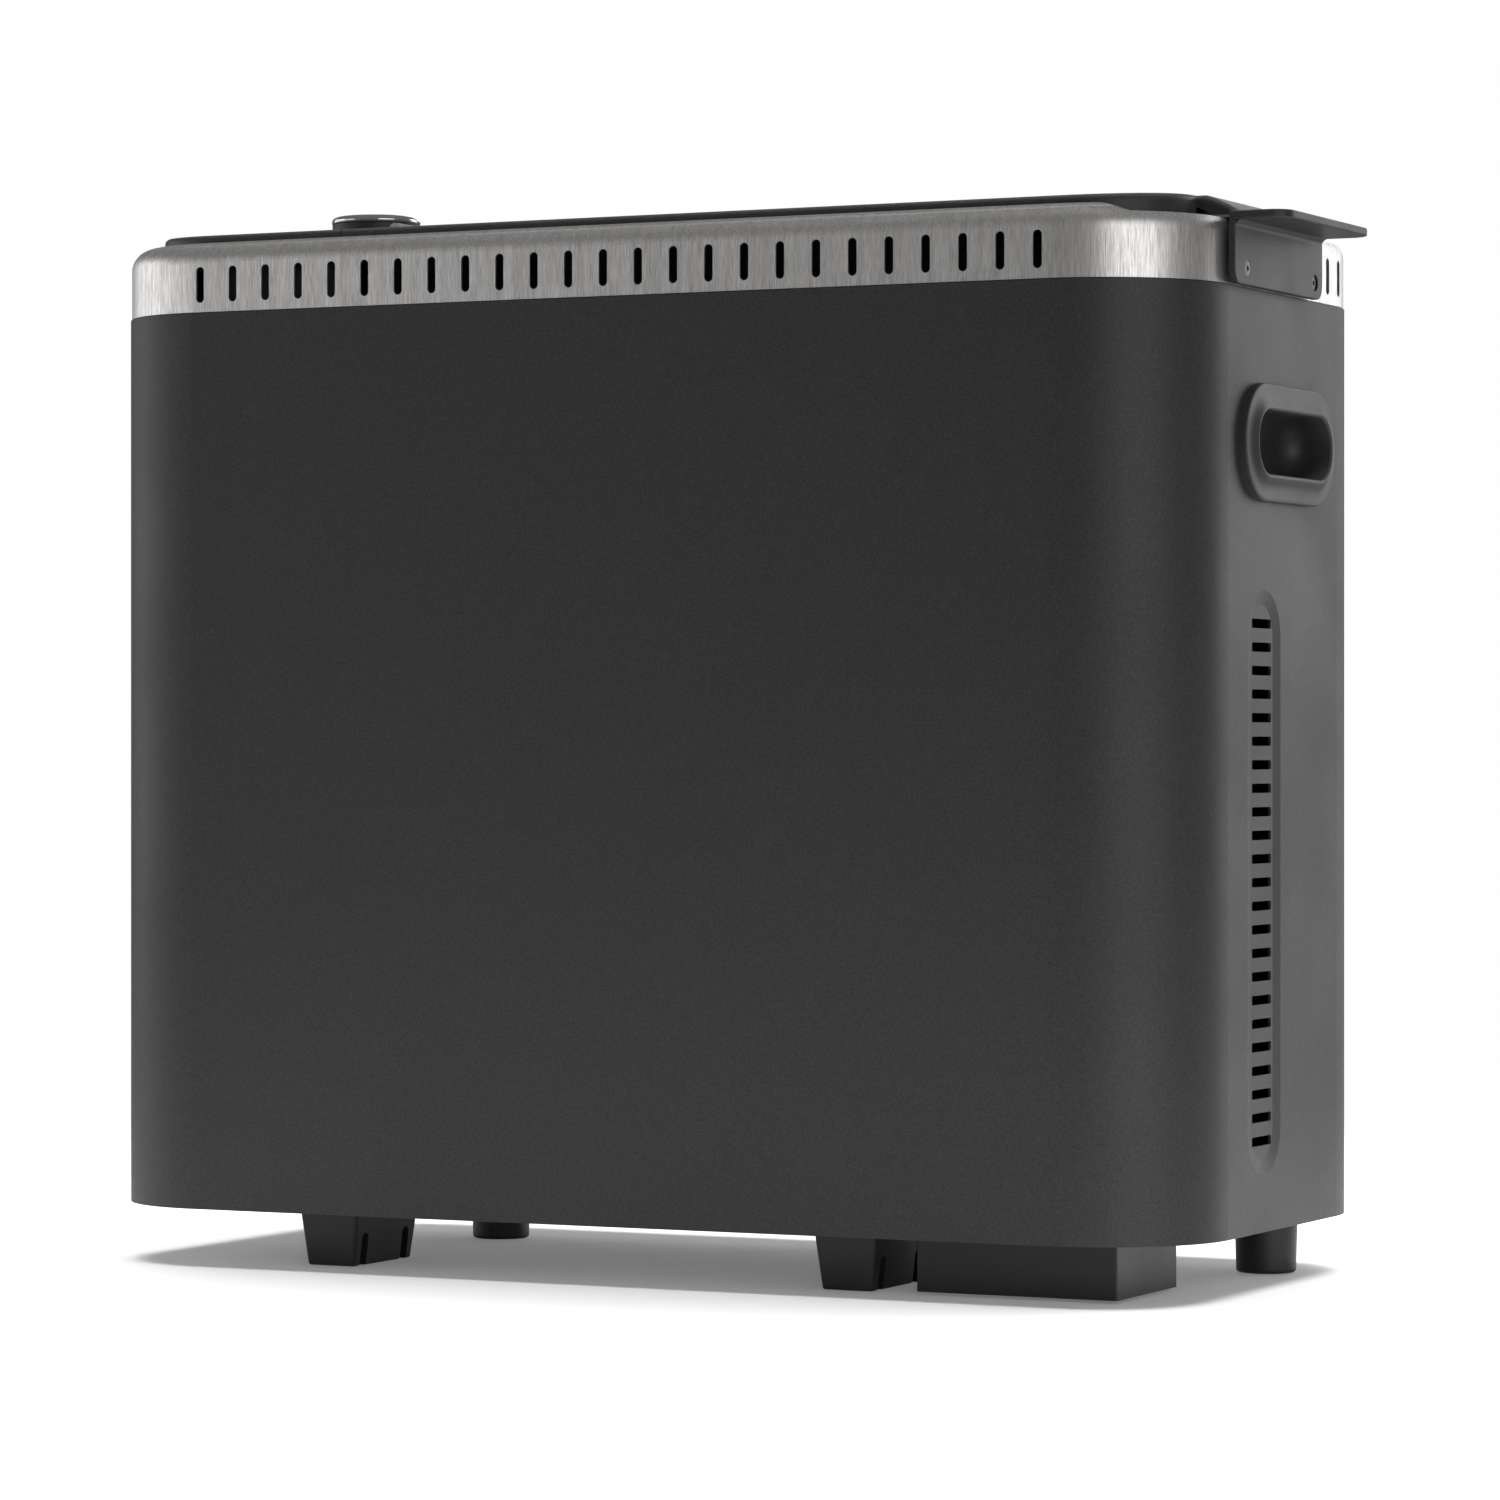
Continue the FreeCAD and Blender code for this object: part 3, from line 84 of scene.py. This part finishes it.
# %% [markdown]
# ## The studio
#
# The background is white paper and the cabinet is almost black, which is a hard pair to light: what
# shapes a dark object is what it reflects. Each panel here is placed for one surface. The key stands
# behind on the right and skims the narrow end. One in front on the right draws the collar's near
# corner. One on the left draws the far corner, one overhead lights the matt surfaces and the floor, and
# a strip behind draws the handle's brow. Two more, overhead and in front on the left, show only as
# reflections. The room between them stays dim, so the wide side stays dark and even. The world is
# white only where the camera looks straight at it.

# %% Build the room and the lights
ROOM_LIGHT = 0.18
TARGET = Vector((0.0, 0.0, 0.3))


def panel(name, azimuth, distance, height, width, tall, power, mirrored=True, lights=True):
    """Soft rectangular light on a circle round the cabinet, turned to face it. Invisible to the camera.

    One that is not mirrored lights matt surfaces only; one that does not light shows only as a reflection."""
    data = bpy.data.lights.new(name, "AREA")
    data.shape = "RECTANGLE"
    data.size = width
    data.size_y = tall
    data.energy = power
    light = bpy.data.objects.new(name, data)
    angle = math.radians(azimuth)
    light.location = (distance * math.cos(angle), distance * math.sin(angle), height)
    light.rotation_euler = (TARGET - light.location).to_track_quat("-Z", "Y").to_euler()
    light.visible_camera = False
    light.visible_glossy = mirrored
    light.visible_diffuse = lights
    scene.collection.objects.link(light)
    return light


def studio_world():
    world = bpy.data.worlds.new("studio")
    world.use_nodes = True
    tree = world.node_tree
    tree.nodes.clear()
    rays = tree.nodes.new("ShaderNodeLightPath")
    room = tree.nodes.new("ShaderNodeBackground")
    room.inputs["Color"].default_value = (1, 1, 1, 1)
    room.inputs["Strength"].default_value = ROOM_LIGHT
    paper = tree.nodes.new("ShaderNodeBackground")
    paper.inputs["Color"].default_value = (1, 1, 1, 1)
    paper.inputs["Strength"].default_value = 1.0
    mix = tree.nodes.new("ShaderNodeMixShader")
    out = tree.nodes.new("ShaderNodeOutputWorld")
    tree.links.new(rays.outputs["Is Camera Ray"], mix.inputs[0])
    tree.links.new(room.outputs[0], mix.inputs[1])
    tree.links.new(paper.outputs[0], mix.inputs[2])
    tree.links.new(mix.outputs[0], out.inputs["Surface"])
    return world


scene.world = studio_world()
scene.view_settings.view_transform = "Standard"
panel("key_right_back", 62, 2.4, 0.8, 1.3, 1.8, 13.0)
panel("fill_right_front", -36, 2.6, 0.5, 2.0, 1.4, 14.0)
panel("edge_left", 184, 2.2, 0.6, 1.6, 1.2, 7.0)
panel("overhead", 90, 0.3, 2.2, 2.6, 1.8, 128.0, mirrored=False)
panel("overhead_mirror", 90, 0.3, 2.2, 2.0, 1.2, 14.0, lights=False)
panel("front_left_mirror", -142, 2.4, 0.6, 1.6, 1.0, 4.0, lights=False)
panel("back_strip", 105, 2.4, 1.1, 1.4, 0.6, 7.0)

# %% [markdown]
# ## Finishes
#
# Three effects are used by several finishes, so each is a shader node group that is built once and
# placed in a material with its own values: *fine grain* for powder coat and moulded plastic, *brush
# marks* for steel, and *soft mottling* for handling marks. All of them read Object coordinates, so the
# pattern stays on the part when it moves.

# %% Helpers for node groups and materials
def new_group(name, inputs, outputs):
    """Node group with float inputs {name: value} and outputs [name]; returns it with its two ends."""
    group = bpy.data.node_groups.new(name, "ShaderNodeTree")
    for label, value in inputs.items():
        socket = group.interface.new_socket(label, in_out="INPUT", socket_type="NodeSocketFloat")
        socket.default_value = value
    for label in outputs:
        group.interface.new_socket(label, in_out="OUTPUT", socket_type="NodeSocketFloat")
    return group, group.nodes.new("NodeGroupInput"), group.nodes.new("NodeGroupOutput")


def math_node(tree, operation, first, second):
    """Two-value maths; a value is a number or another node's output."""
    node = tree.nodes.new("ShaderNodeMath")
    node.operation = operation
    for slot, value in zip(node.inputs, (first, second)):
        if hasattr(value, "links"):
            tree.links.new(value, slot)
        else:
            slot.default_value = value
    return node.outputs[0]


def noise_node(tree, vector, detail, scale=1.0, roughness=0.5):
    node = tree.nodes.new("ShaderNodeTexNoise")
    node.inputs["Detail"].default_value = detail
    node.inputs["Scale"].default_value = scale
    node.inputs["Roughness"].default_value = roughness
    tree.links.new(vector, node.inputs["Vector"])
    return node


def object_point(tree):
    return tree.nodes.new("ShaderNodeTexCoord").outputs["Object"]


# %% Group: fine grain
PIT_DEPTH = 0.35        # share of the height that the round pits take away
PIT_DENSITY = 0.8       # pits against grains


def fine_grain_group():
    """Small even bumps: the skin of powder coat and of textured mouldings."""
    group, start, end = new_group("fine_grain", {"Size mm": 0.7}, ["Height", "Mask"])
    scale = math_node(group, "DIVIDE", 1000.0, start.outputs["Size mm"])
    fine = noise_node(group, object_point(group), 2.0)
    group.links.new(scale, fine.inputs["Scale"])
    cells = group.nodes.new("ShaderNodeTexVoronoi")
    group.links.new(object_point(group), cells.inputs["Vector"])
    group.links.new(math_node(group, "MULTIPLY", scale, PIT_DENSITY), cells.inputs["Scale"])
    pits = math_node(group, "MULTIPLY", cells.outputs[0], PIT_DEPTH)
    height = math_node(group, "SUBTRACT", fine.outputs[0], pits)
    group.links.new(height, end.inputs["Height"])
    group.links.new(fine.outputs[0], end.inputs["Mask"])
    return group


fine_grain = fine_grain_group()
print("group:", fine_grain.name)


# %% Group: brush marks
STREAK_SHARE = 0.75     # fine streaks in the mask
BROAD_SHARE = 0.25      # broad bands in the mask
BROAD_SCALE = 0.12


def brush_marks_group():
    """Upright thin streaks. Along and Across are the streak sizes in millimetres."""
    group, start, end = new_group("brush_marks", {"Across mm": 0.5, "Along mm": 30.0}, ["Height", "Mask"])
    split = group.nodes.new("ShaderNodeSeparateXYZ")
    group.links.new(object_point(group), split.inputs[0])
    across = math_node(group, "DIVIDE", 1000.0, start.outputs["Across mm"])
    along = math_node(group, "DIVIDE", 1000.0, start.outputs["Along mm"])
    point = group.nodes.new("ShaderNodeCombineXYZ")
    group.links.new(math_node(group, "MULTIPLY", split.outputs[0], across), point.inputs[0])
    group.links.new(math_node(group, "MULTIPLY", split.outputs[1], across), point.inputs[1])
    group.links.new(math_node(group, "MULTIPLY", split.outputs[2], along), point.inputs[2])
    streak = noise_node(group, point.outputs[0], 3.0, 1.0, 0.65)
    broad = noise_node(group, point.outputs[0], 2.0, BROAD_SCALE, 0.5)
    mixed = math_node(group, "ADD", math_node(group, "MULTIPLY", streak.outputs[0], STREAK_SHARE),
                      math_node(group, "MULTIPLY", broad.outputs[0], BROAD_SHARE))
    group.links.new(streak.outputs[0], end.inputs["Height"])
    group.links.new(mixed, end.inputs["Mask"])
    return group


brush_marks = brush_marks_group()
print("group:", brush_marks.name)


# %% Group: soft mottling
def soft_mottling_group():
    """Broad, faint clouds, as handling and cleaning leave on a satin surface."""
    group, start, end = new_group("soft_mottling", {"Size mm": 60.0}, ["Mask"])
    cloud = noise_node(group, object_point(group), 4.0)
    group.links.new(math_node(group, "DIVIDE", 1000.0, start.outputs["Size mm"]), cloud.inputs["Scale"])
    group.links.new(cloud.outputs[0], end.inputs["Mask"])
    return group


soft_mottling = soft_mottling_group()
print("group:", soft_mottling.name)


# %% Helpers that put a group into a material
def material_start(name, color, roughness, metallic=0.0):
    material = bpy.data.materials.new(name)
    material.use_nodes = True
    shader = material.node_tree.nodes["Principled BSDF"]
    shader.inputs["Base Color"].default_value = (*color, 1)
    shader.inputs["Roughness"].default_value = roughness
    shader.inputs["Metallic"].default_value = metallic
    return material, material.node_tree, shader


def place(tree, group, **values):
    node = tree.nodes.new("ShaderNodeGroup")
    node.node_tree = group
    for label, value in values.items():
        node.inputs[label.replace("_", " ")].default_value = value
    return node


def ramp(tree, mask, low, high, from_low=0.3, from_high=0.7):
    """Maps a mask onto a narrow range of values."""
    node = tree.nodes.new("ShaderNodeMapRange")
    for label, value in (("From Min", from_low), ("From Max", from_high), ("To Min", low), ("To Max", high)):
        node.inputs[label].default_value = value
    tree.links.new(mask, node.inputs["Value"])
    return node.outputs[0]


def tint(tree, mask, dark, light, from_low=0.3, from_high=0.7):
    """Blends two colours by a mask."""
    node = tree.nodes.new("ShaderNodeMix")
    node.data_type = "RGBA"
    node.inputs["A"].default_value = (*dark, 1)
    node.inputs["B"].default_value = (*light, 1)
    tree.links.new(ramp(tree, mask, 0.0, 1.0, from_low, from_high), node.inputs["Factor"])
    return node.outputs["Result"]


def bump(tree, shader, height, distance_mm):
    node = tree.nodes.new("ShaderNodeBump")
    node.inputs["Distance"].default_value = distance_mm * MM
    node.inputs["Strength"].default_value = 1.0
    tree.links.new(height, node.inputs["Height"])
    tree.links.new(node.outputs["Normal"], shader.inputs["Normal"])


# %% [markdown]
# ### Coated and moulded surfaces
#
# Powder coat and moulded plastic differ less in colour than in how they break up a highlight. Both are
# a dark base with fine grain in the bump and a faint cloud in the roughness. One function makes them
# all, with the grain's size and the colour's two ends as its values.

# %% Make the coated and moulded finishes
def grained(name, dark, light, rough_low, rough_high, grain_mm, depth_mm, cloud_mm=70.0):
    material, tree, shader = material_start(name, dark, rough_low)
    grain = place(tree, fine_grain, Size_mm=grain_mm)
    cloud = place(tree, soft_mottling, Size_mm=cloud_mm)
    tree.links.new(tint(tree, grain.outputs["Mask"], dark, light), shader.inputs["Base Color"])
    tree.links.new(ramp(tree, cloud.outputs["Mask"], rough_low, rough_high), shader.inputs["Roughness"])
    bump(tree, shader, grain.outputs["Height"], depth_mm)
    return material


def grey(value):
    return (value, value, value)


finishes = {
    "charcoal_coat": grained("charcoal_coat", grey(0.014), grey(0.032), 0.46, 0.54, 0.9, 0.05),
    "dark_plastic": grained("dark_plastic", grey(0.014), grey(0.030), 0.44, 0.52, 0.8, 0.05, 40.0),
    "grey_plastic": grained("grey_plastic", grey(0.022), grey(0.038), 0.42, 0.52, 0.8, 0.04, 30.0),
    "black_plastic": grained("black_plastic", grey(0.012), grey(0.016), 0.45, 0.55, 0.6, 0.010, 25.0),
    "black_enamel": grained("black_enamel", grey(0.005), grey(0.008), 0.40, 0.48, 1.2, 0.006, 45.0),
    "seal_rubber": grained("seal_rubber", grey(0.018), grey(0.024), 0.60, 0.70, 0.4, 0.010, 20.0),
    "moulded_white": grained("moulded_white", (0.62, 0.60, 0.55), (0.70, 0.68, 0.63),
                             0.40, 0.50, 0.5, 0.006, 15.0),
    "mineral_wool": grained("mineral_wool", grey(0.012), grey(0.035), 0.90, 0.98, 2.5, 0.9, 20.0),
}
print("grained finishes:", len(finishes))

# %% [markdown]
# ### Brushed, plated and bright metal
#
# Steel that was drawn past an abrasive belt reflects softly across the marks and sharply along them. The
# marks are a stretched noise that moves the colour, the roughness and the bump together. Plated
# pressings inside are the same with shorter marks and a duller colour.

# %% Make the metal finishes
def brushed(name, dark, light, rough_low, rough_high, across_mm, along_mm, depth_mm):
    material, tree, shader = material_start(name, light, rough_low, 1.0)
    marks = place(tree, brush_marks, Across_mm=across_mm, Along_mm=along_mm)
    tree.links.new(tint(tree, marks.outputs["Mask"], dark, light), shader.inputs["Base Color"])
    tree.links.new(ramp(tree, marks.outputs["Mask"], rough_high, rough_low), shader.inputs["Roughness"])
    bump(tree, shader, marks.outputs["Height"], depth_mm)
    return material


def bright(name, color, rough_low, rough_high, cloud_mm):
    material, tree, shader = material_start(name, color, rough_low, 1.0)
    cloud = place(tree, soft_mottling, Size_mm=cloud_mm)
    tree.links.new(ramp(tree, cloud.outputs["Mask"], rough_low, rough_high), shader.inputs["Roughness"])
    return material


finishes.update({
    "brushed_steel": brushed("brushed_steel", (0.42, 0.41, 0.40), (1.0, 0.985, 0.97),
                             0.34, 0.46, 0.42, 9.0, 0.045),
    "chamber_steel": brushed("chamber_steel", (0.46, 0.45, 0.43), (0.62, 0.61, 0.59),
                             0.26, 0.38, 0.8, 60.0, 0.008),
    "plated_steel": brushed("plated_steel", (0.40, 0.41, 0.42), (0.52, 0.53, 0.54),
                            0.36, 0.50, 3.0, 6.0, 0.006),
    "screw_steel": brushed("screw_steel", (0.22, 0.22, 0.22), (0.30, 0.30, 0.30), 0.30, 0.42, 0.4, 1.5, 0.01),
    "element_sheath": brushed("element_sheath", (0.10, 0.095, 0.09), (0.20, 0.18, 0.16),
                              0.38, 0.55, 2.0, 9.0, 0.01),
    "black_oxide": brushed("black_oxide", (0.07, 0.07, 0.07), (0.12, 0.12, 0.12), 0.34, 0.44, 0.4, 1.5, 0.01),
    "chrome_ring": bright("chrome_ring", (0.55, 0.56, 0.57), 0.12, 0.20, 8.0),
})
print("all finishes:", len(finishes))

# %% [markdown]
# ## Dress the engineering parts
#
# Each engineering part names the finish it is made in. Most parts are already the right shape, so they
# only take their material here, and the ones that need finer shapes are replaced further down.

# %% Give every part its finish
slot_of = {part["node"]: part["material_slot"] for part in frame["record"]["subparts"]}
for name, part in nodes.items():
    part.data.materials.clear()
    part.data.materials.append(finishes[slot_of[name]])
print("parts dressed:", len(nodes))

# %% [markdown]
# A real pressing or moulding has no knife edge: its corners turn over a small radius that catches a
# line of light. The drip drawer and the two front feet get theirs from a bevel modifier, which leaves
# their mesh alone.

# %% Soften the drawer and the front feet
def soften(name, width_mm, segments=3):
    bevel = nodes[name].modifiers.new("soft edges", "BEVEL")
    bevel.width = width_mm * MM
    bevel.segments = segments
    bevel.limit_method = "ANGLE"
    bevel.angle_limit = math.radians(50)
    bevel.harden_normals = True
    return name


softened = [soften("drip_drawer", 0.5), soften("front_foot_left", 0.6), soften("front_foot_right", 0.6)]
print("softened:", softened)

# %% [markdown]
# ## Shapes built here
#
# The cabinet is drawn about its own middle, which lies 10.7 mm to the left of the frame's origin,
# because the handle reaches further out than the left hand hold. `CABINET` carries that shift, so the
# numbers below are plain millimetres from the middle of the casing.
#
# Two ways of building are used. A *skin* joins a row of closed outlines, like the ribs of a boat: it
# suits the hand holds, whose outline keeps its kind while its size changes. A *turning* spins half a
# profile round an axis, which suits the dial.

# %% Helpers for building pieces
CABINET = Vector((-10.7 * MM, 0.0, 0.0))
CASE_HALF = 265.0
FACES_RIGHT = Matrix(((0, 0, 1, 0), (1, 0, 0, 0), (0, 1, 0, 0), (0, 0, 0, 1)))


def outline(bm, half_long, half_tall, radius, depth, segments=96):
    """Closed rounded rectangle, millimetres: a circle whose four quarters slide apart."""
    made = bmesh.ops.create_circle(bm, segments=segments, radius=radius,
                                   matrix=Matrix.Rotation(math.pi / segments, 4, "Z"))
    for vert in made["verts"]:
        vert.co.x += math.copysign(half_long - radius, vert.co.x)
        vert.co.y += math.copysign(half_tall - radius, vert.co.y)
        vert.co.z = depth
    return list({edge for vert in made["verts"] for edge in vert.link_edges})


def skin(bm, ribs):
    """Bridges each outline to the next and closes both ends."""
    rings = [outline(bm, *rib) for rib in ribs]
    for first, second in zip(rings, rings[1:]):
        bmesh.ops.bridge_loops(bm, edges=first + second)
    for ring in (rings[0], rings[-1]):
        bmesh.ops.triangle_fill(bm, use_beauty=True, edges=ring)


def turning(bm, profile, steps=160):
    """Spins (radius, height) points round the upright axis, millimetres."""
    verts = [bm.verts.new((radius, 0, height)) for radius, height in profile]
    edges = [bm.edges.new(pair) for pair in zip(verts, verts[1:])]
    bmesh.ops.spin(bm, geom=verts + edges, cent=(0, 0, 0), axis=(0, 0, 1), angle=2 * math.pi,
                   steps=steps, use_merge=True)
    bmesh.ops.remove_doubles(bm, verts=bm.verts, dist=1e-4)


def arc(centre, radius, start, end, count):
    """Points on a circle in the profile's plane, degrees."""
    angles = [math.radians(start + (end - start) * i / count) for i in range(count + 1)]
    return [(centre[0] + radius * math.cos(a), centre[1] + radius * math.sin(a)) for a in angles]


def finish_piece(bm, name, spot, slot, body, replaced, sharp=35.0):
    """Puts the built shape at its place, shades it smooth and hangs it on its body."""
    bmesh.ops.transform(bm, matrix=Matrix.Scale(MM, 4) @ spot, verts=bm.verts)
    bmesh.ops.translate(bm, verts=bm.verts, vec=CABINET)
    bmesh.ops.recalc_face_normals(bm, faces=bm.faces)
    closed = all(edge.is_manifold for edge in bm.edges)
    mesh = bpy.data.meshes.new(name)
    bm.to_mesh(mesh)
    bm.free()
    mesh.shade_smooth()
    mesh.set_sharp_from_angle(angle=math.radians(sharp))
    mesh.materials.append(finishes[slot])
    piece = bpy.data.objects.new(name, mesh)
    scene.collection.objects.link(piece)
    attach(piece, body)
    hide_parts(replaced)
    print(name, "faces:", len(mesh.polygons), "closed:", closed)
    return piece


# %% [markdown]
# ### Hand holds
#
# A hand hold is one moulding: a bezel that lies on the casing and a cup for the fingers. Going inwards,
# its profile rises from the casing in a small round wall, sweeps up in a hollow curve to the lip, turns
# over the lip and falls into the cup, whose walls meet the floor in a wide radius.

# %% Build the hand holds
HOLD_HEIGHT = 361.2
HOLD_HALF = (54.25, 25.1)
HOLD_OPEN = (44.0, 13.65)
CUP_WALL = 2.2
CUP_DEPTH = 18.3
CUP_ROUND = 11.0
BEZEL_WIDTH = 10.1      # as drawn in the profile; scaled to the real width along and across
RIM_HEIGHT = 3.62
WALL_ROUND = 0.7
WALL_TURN = 2.9         # height at which the bezel's small wall starts to turn over
SWEEP = (0.7, 7.3, 1.9) # where the hollow sweep starts, its width and its rise
SWEEP_STEPS = (0.15, 0.3, 0.45, 0.6, 0.75, 0.88)
LIP = (9.1, 4.9, 1.0)   # centre and radius of the rounded lip
FLANGE_DROP = 0.5       # keeps the flange's back out of the bezel's first plane
SIDE_LEFT = 0.001       # straight length left at the outline's short ends


def hold_ribs():
    """Outlines from the cup's outside, over the bezel and its lip, down to the cup's floor.

    No two neighbours lie in one plane, or the bridge between them could cross the opening."""
    long, tall = HOLD_OPEN
    outer_round = CUP_ROUND + CUP_WALL
    ribs = []
    for inset, depth in arc((outer_round, outer_round - CUP_DEPTH), outer_round, 270, 180, 8):
        ribs.append((long + CUP_WALL - inset, tall + CUP_WALL - inset, depth))
    ribs.append((long + CUP_WALL, tall + CUP_WALL, -FLANGE_DROP))
    start, width, rise = SWEEP
    bezel = [(0.0, 0.0), (0.0, WALL_TURN - 0.1)]
    bezel += arc((WALL_ROUND, WALL_TURN), WALL_ROUND, 180, 100, 4)
    for share in SWEEP_STEPS:
        bezel.append((start + width * share, RIM_HEIGHT + rise * share ** 3))
    bezel += arc(LIP[:2], LIP[2], 115, 0, 8)
    for inset, depth in bezel:
        along = inset * (HOLD_HALF[0] - long) / BEZEL_WIDTH
        across = inset * (HOLD_HALF[1] - tall) / BEZEL_WIDTH
        ribs.append((HOLD_HALF[0] - along, HOLD_HALF[1] - across, depth))
    floor = CUP_WALL - CUP_DEPTH
    for inset, depth in arc((CUP_ROUND, CUP_ROUND + floor), CUP_ROUND, 180, 270, 10):
        ribs.append((long - inset, tall - inset, depth))
    return [(half_long, half_tall, half_tall - SIDE_LEFT, depth) for half_long, half_tall, depth in ribs]


def make_hold(name, turn):
    bm = bmesh.new()
    skin(bm, hold_ribs())
    spot = Matrix.Rotation(turn, 4, "Z") @ Matrix.Translation((CASE_HALF, 0, HOLD_HEIGHT)) @ FACES_RIGHT
    return finish_piece(bm, name + "_soft", spot, "grey_plastic", "root", name)


make_hold("hand_hold_right", 0.0)
make_hold("hand_hold_left", math.pi)

# %% [markdown]
# ### The dial
#
# The dial's body and its bright ring are both turned. The body's side has a fine rounded foot; its top
# is slightly dished, so that a finger finds its middle. The ring's shoulder is one soft curve from its
# wall to its inner edge: that curve is what shows the room as two dark patches between bright ones.

# %% Build the dial
DIAL_PLACE = Matrix.Translation((-183.4, 0, 0))
DIAL_RADIUS = 20.5
RING_BOTTOM = 474.4
DIAL_TOP = 477.8
DIAL_BOTTOM = 465.6
FACE_RADIUS = 16.5
EDGE_ROUND = 0.25
BODY_INSET = 0.2        # how far the body's side stands inside the ring's
RING_WALL = 1.3         # upright part of the ring's side
RING_SHOULDER = 3.5     # how far in the ring's shoulder reaches
DIAL_FOOT_ROUND = 0.9
DISH = ((16.2, 0.5), (12.0, 0.75), (6.0, 1.0), (0.0, 1.1))     # radius, depth below the top
MARK_SIZE = (1.6, 6.5, 0.7)
MARK_FROM_AXIS = 11.5
MARK_SUNK = 0.6


def make_dial_ring():
    wall_top = RING_BOTTOM + RING_WALL
    run, rise = RING_SHOULDER, DIAL_TOP - wall_top
    shoulder = [(DIAL_RADIUS - run + run * math.cos(t), wall_top + rise * math.sin(t))
                for t in (math.radians(a) for a in range(0, 91, 9))]
    profile = [(FACE_RADIUS, RING_BOTTOM), (DIAL_RADIUS - EDGE_ROUND, RING_BOTTOM)]
    profile += [(DIAL_RADIUS, RING_BOTTOM + EDGE_ROUND)] + shoulder
    profile += [(FACE_RADIUS + BODY_INSET, DIAL_TOP), (FACE_RADIUS, DIAL_TOP - EDGE_ROUND)]
    profile += [(FACE_RADIUS, RING_BOTTOM)]
    bm = bmesh.new()
    turning(bm, profile)
    return finish_piece(bm, "dial_ring_turned", DIAL_PLACE, "chrome_ring", "dial", "dial_ring", 50.0)


def make_dial_body():
    side = DIAL_RADIUS - BODY_INSET
    foot = (side - DIAL_FOOT_ROUND, DIAL_BOTTOM + DIAL_FOOT_ROUND)
    profile = [(0.0, DIAL_BOTTOM)] + arc(foot, DIAL_FOOT_ROUND, 270, 360, 6)
    profile += [(side, RING_BOTTOM - 0.3), (side - 0.3, RING_BOTTOM), (FACE_RADIUS, RING_BOTTOM)]
    profile += [(FACE_RADIUS, DIAL_TOP - 0.8)] + [(radius, DIAL_TOP - depth) for radius, depth in DISH]
    bm = bmesh.new()
    turning(bm, profile)
    return finish_piece(bm, "dial_body_turned", DIAL_PLACE, "dark_plastic", "dial", "dial_body", 40.0)


def make_dial_mark():
    """Raised pip on the dial's face that points along the cabinet."""
    bm = bmesh.new()
    bmesh.ops.create_cube(bm, size=1.0, matrix=Matrix.Diagonal((*MARK_SIZE, 1)))
    bmesh.ops.bevel(bm, geom=bm.edges[:], offset=EDGE_ROUND, segments=3, affect="EDGES",
                    profile=0.5, material=-1)
    spot = DIAL_PLACE @ Matrix.Translation((0, MARK_FROM_AXIS, DIAL_TOP - MARK_SUNK))
    return finish_piece(bm, "dial_mark", spot, "moulded_white", "dial", "dial_body")


make_dial_ring()
make_dial_body()
make_dial_mark()

# %% [markdown]
# ## The floor
#
# A pale sheet catches the soft shadow under the feet. It turns clear with distance, so it has no
# horizon and the white paper behind takes over.

# %% Lay the floor
FLOOR_RADIUS = 2.4
FLOOR_DROP = 0.0004     # keeps the sheet just under the feet
FADE = (0.40, 1.0)      # where the floor starts to clear and where it is gone, metres
FLOOR_COVER = 0.86


def make_floor():
    bm = bmesh.new()
    bmesh.ops.create_circle(bm, cap_ends=True, segments=64, radius=FLOOR_RADIUS)
    bmesh.ops.translate(bm, verts=bm.verts, vec=(0, 0, -FLOOR_DROP))
    mesh = bpy.data.meshes.new("floor")
    bm.to_mesh(mesh)
    bm.free()
    floor = bpy.data.objects.new("floor", mesh)
    scene.collection.objects.link(floor)
    material, tree, shader = material_start("paper", (0.93, 0.93, 0.93), 0.9)
    shader.inputs["Specular IOR Level"].default_value = 0.1
    radius = tree.nodes.new("ShaderNodeVectorMath")
    radius.operation = "LENGTH"
    tree.links.new(object_point(tree), radius.inputs[0])
    fade = ramp(tree, radius.outputs["Value"], FLOOR_COVER, 0.0, *FADE)
    tree.links.new(fade, shader.inputs["Alpha"])
    mesh.materials.append(material)
    return floor


make_floor()
print("floor laid")
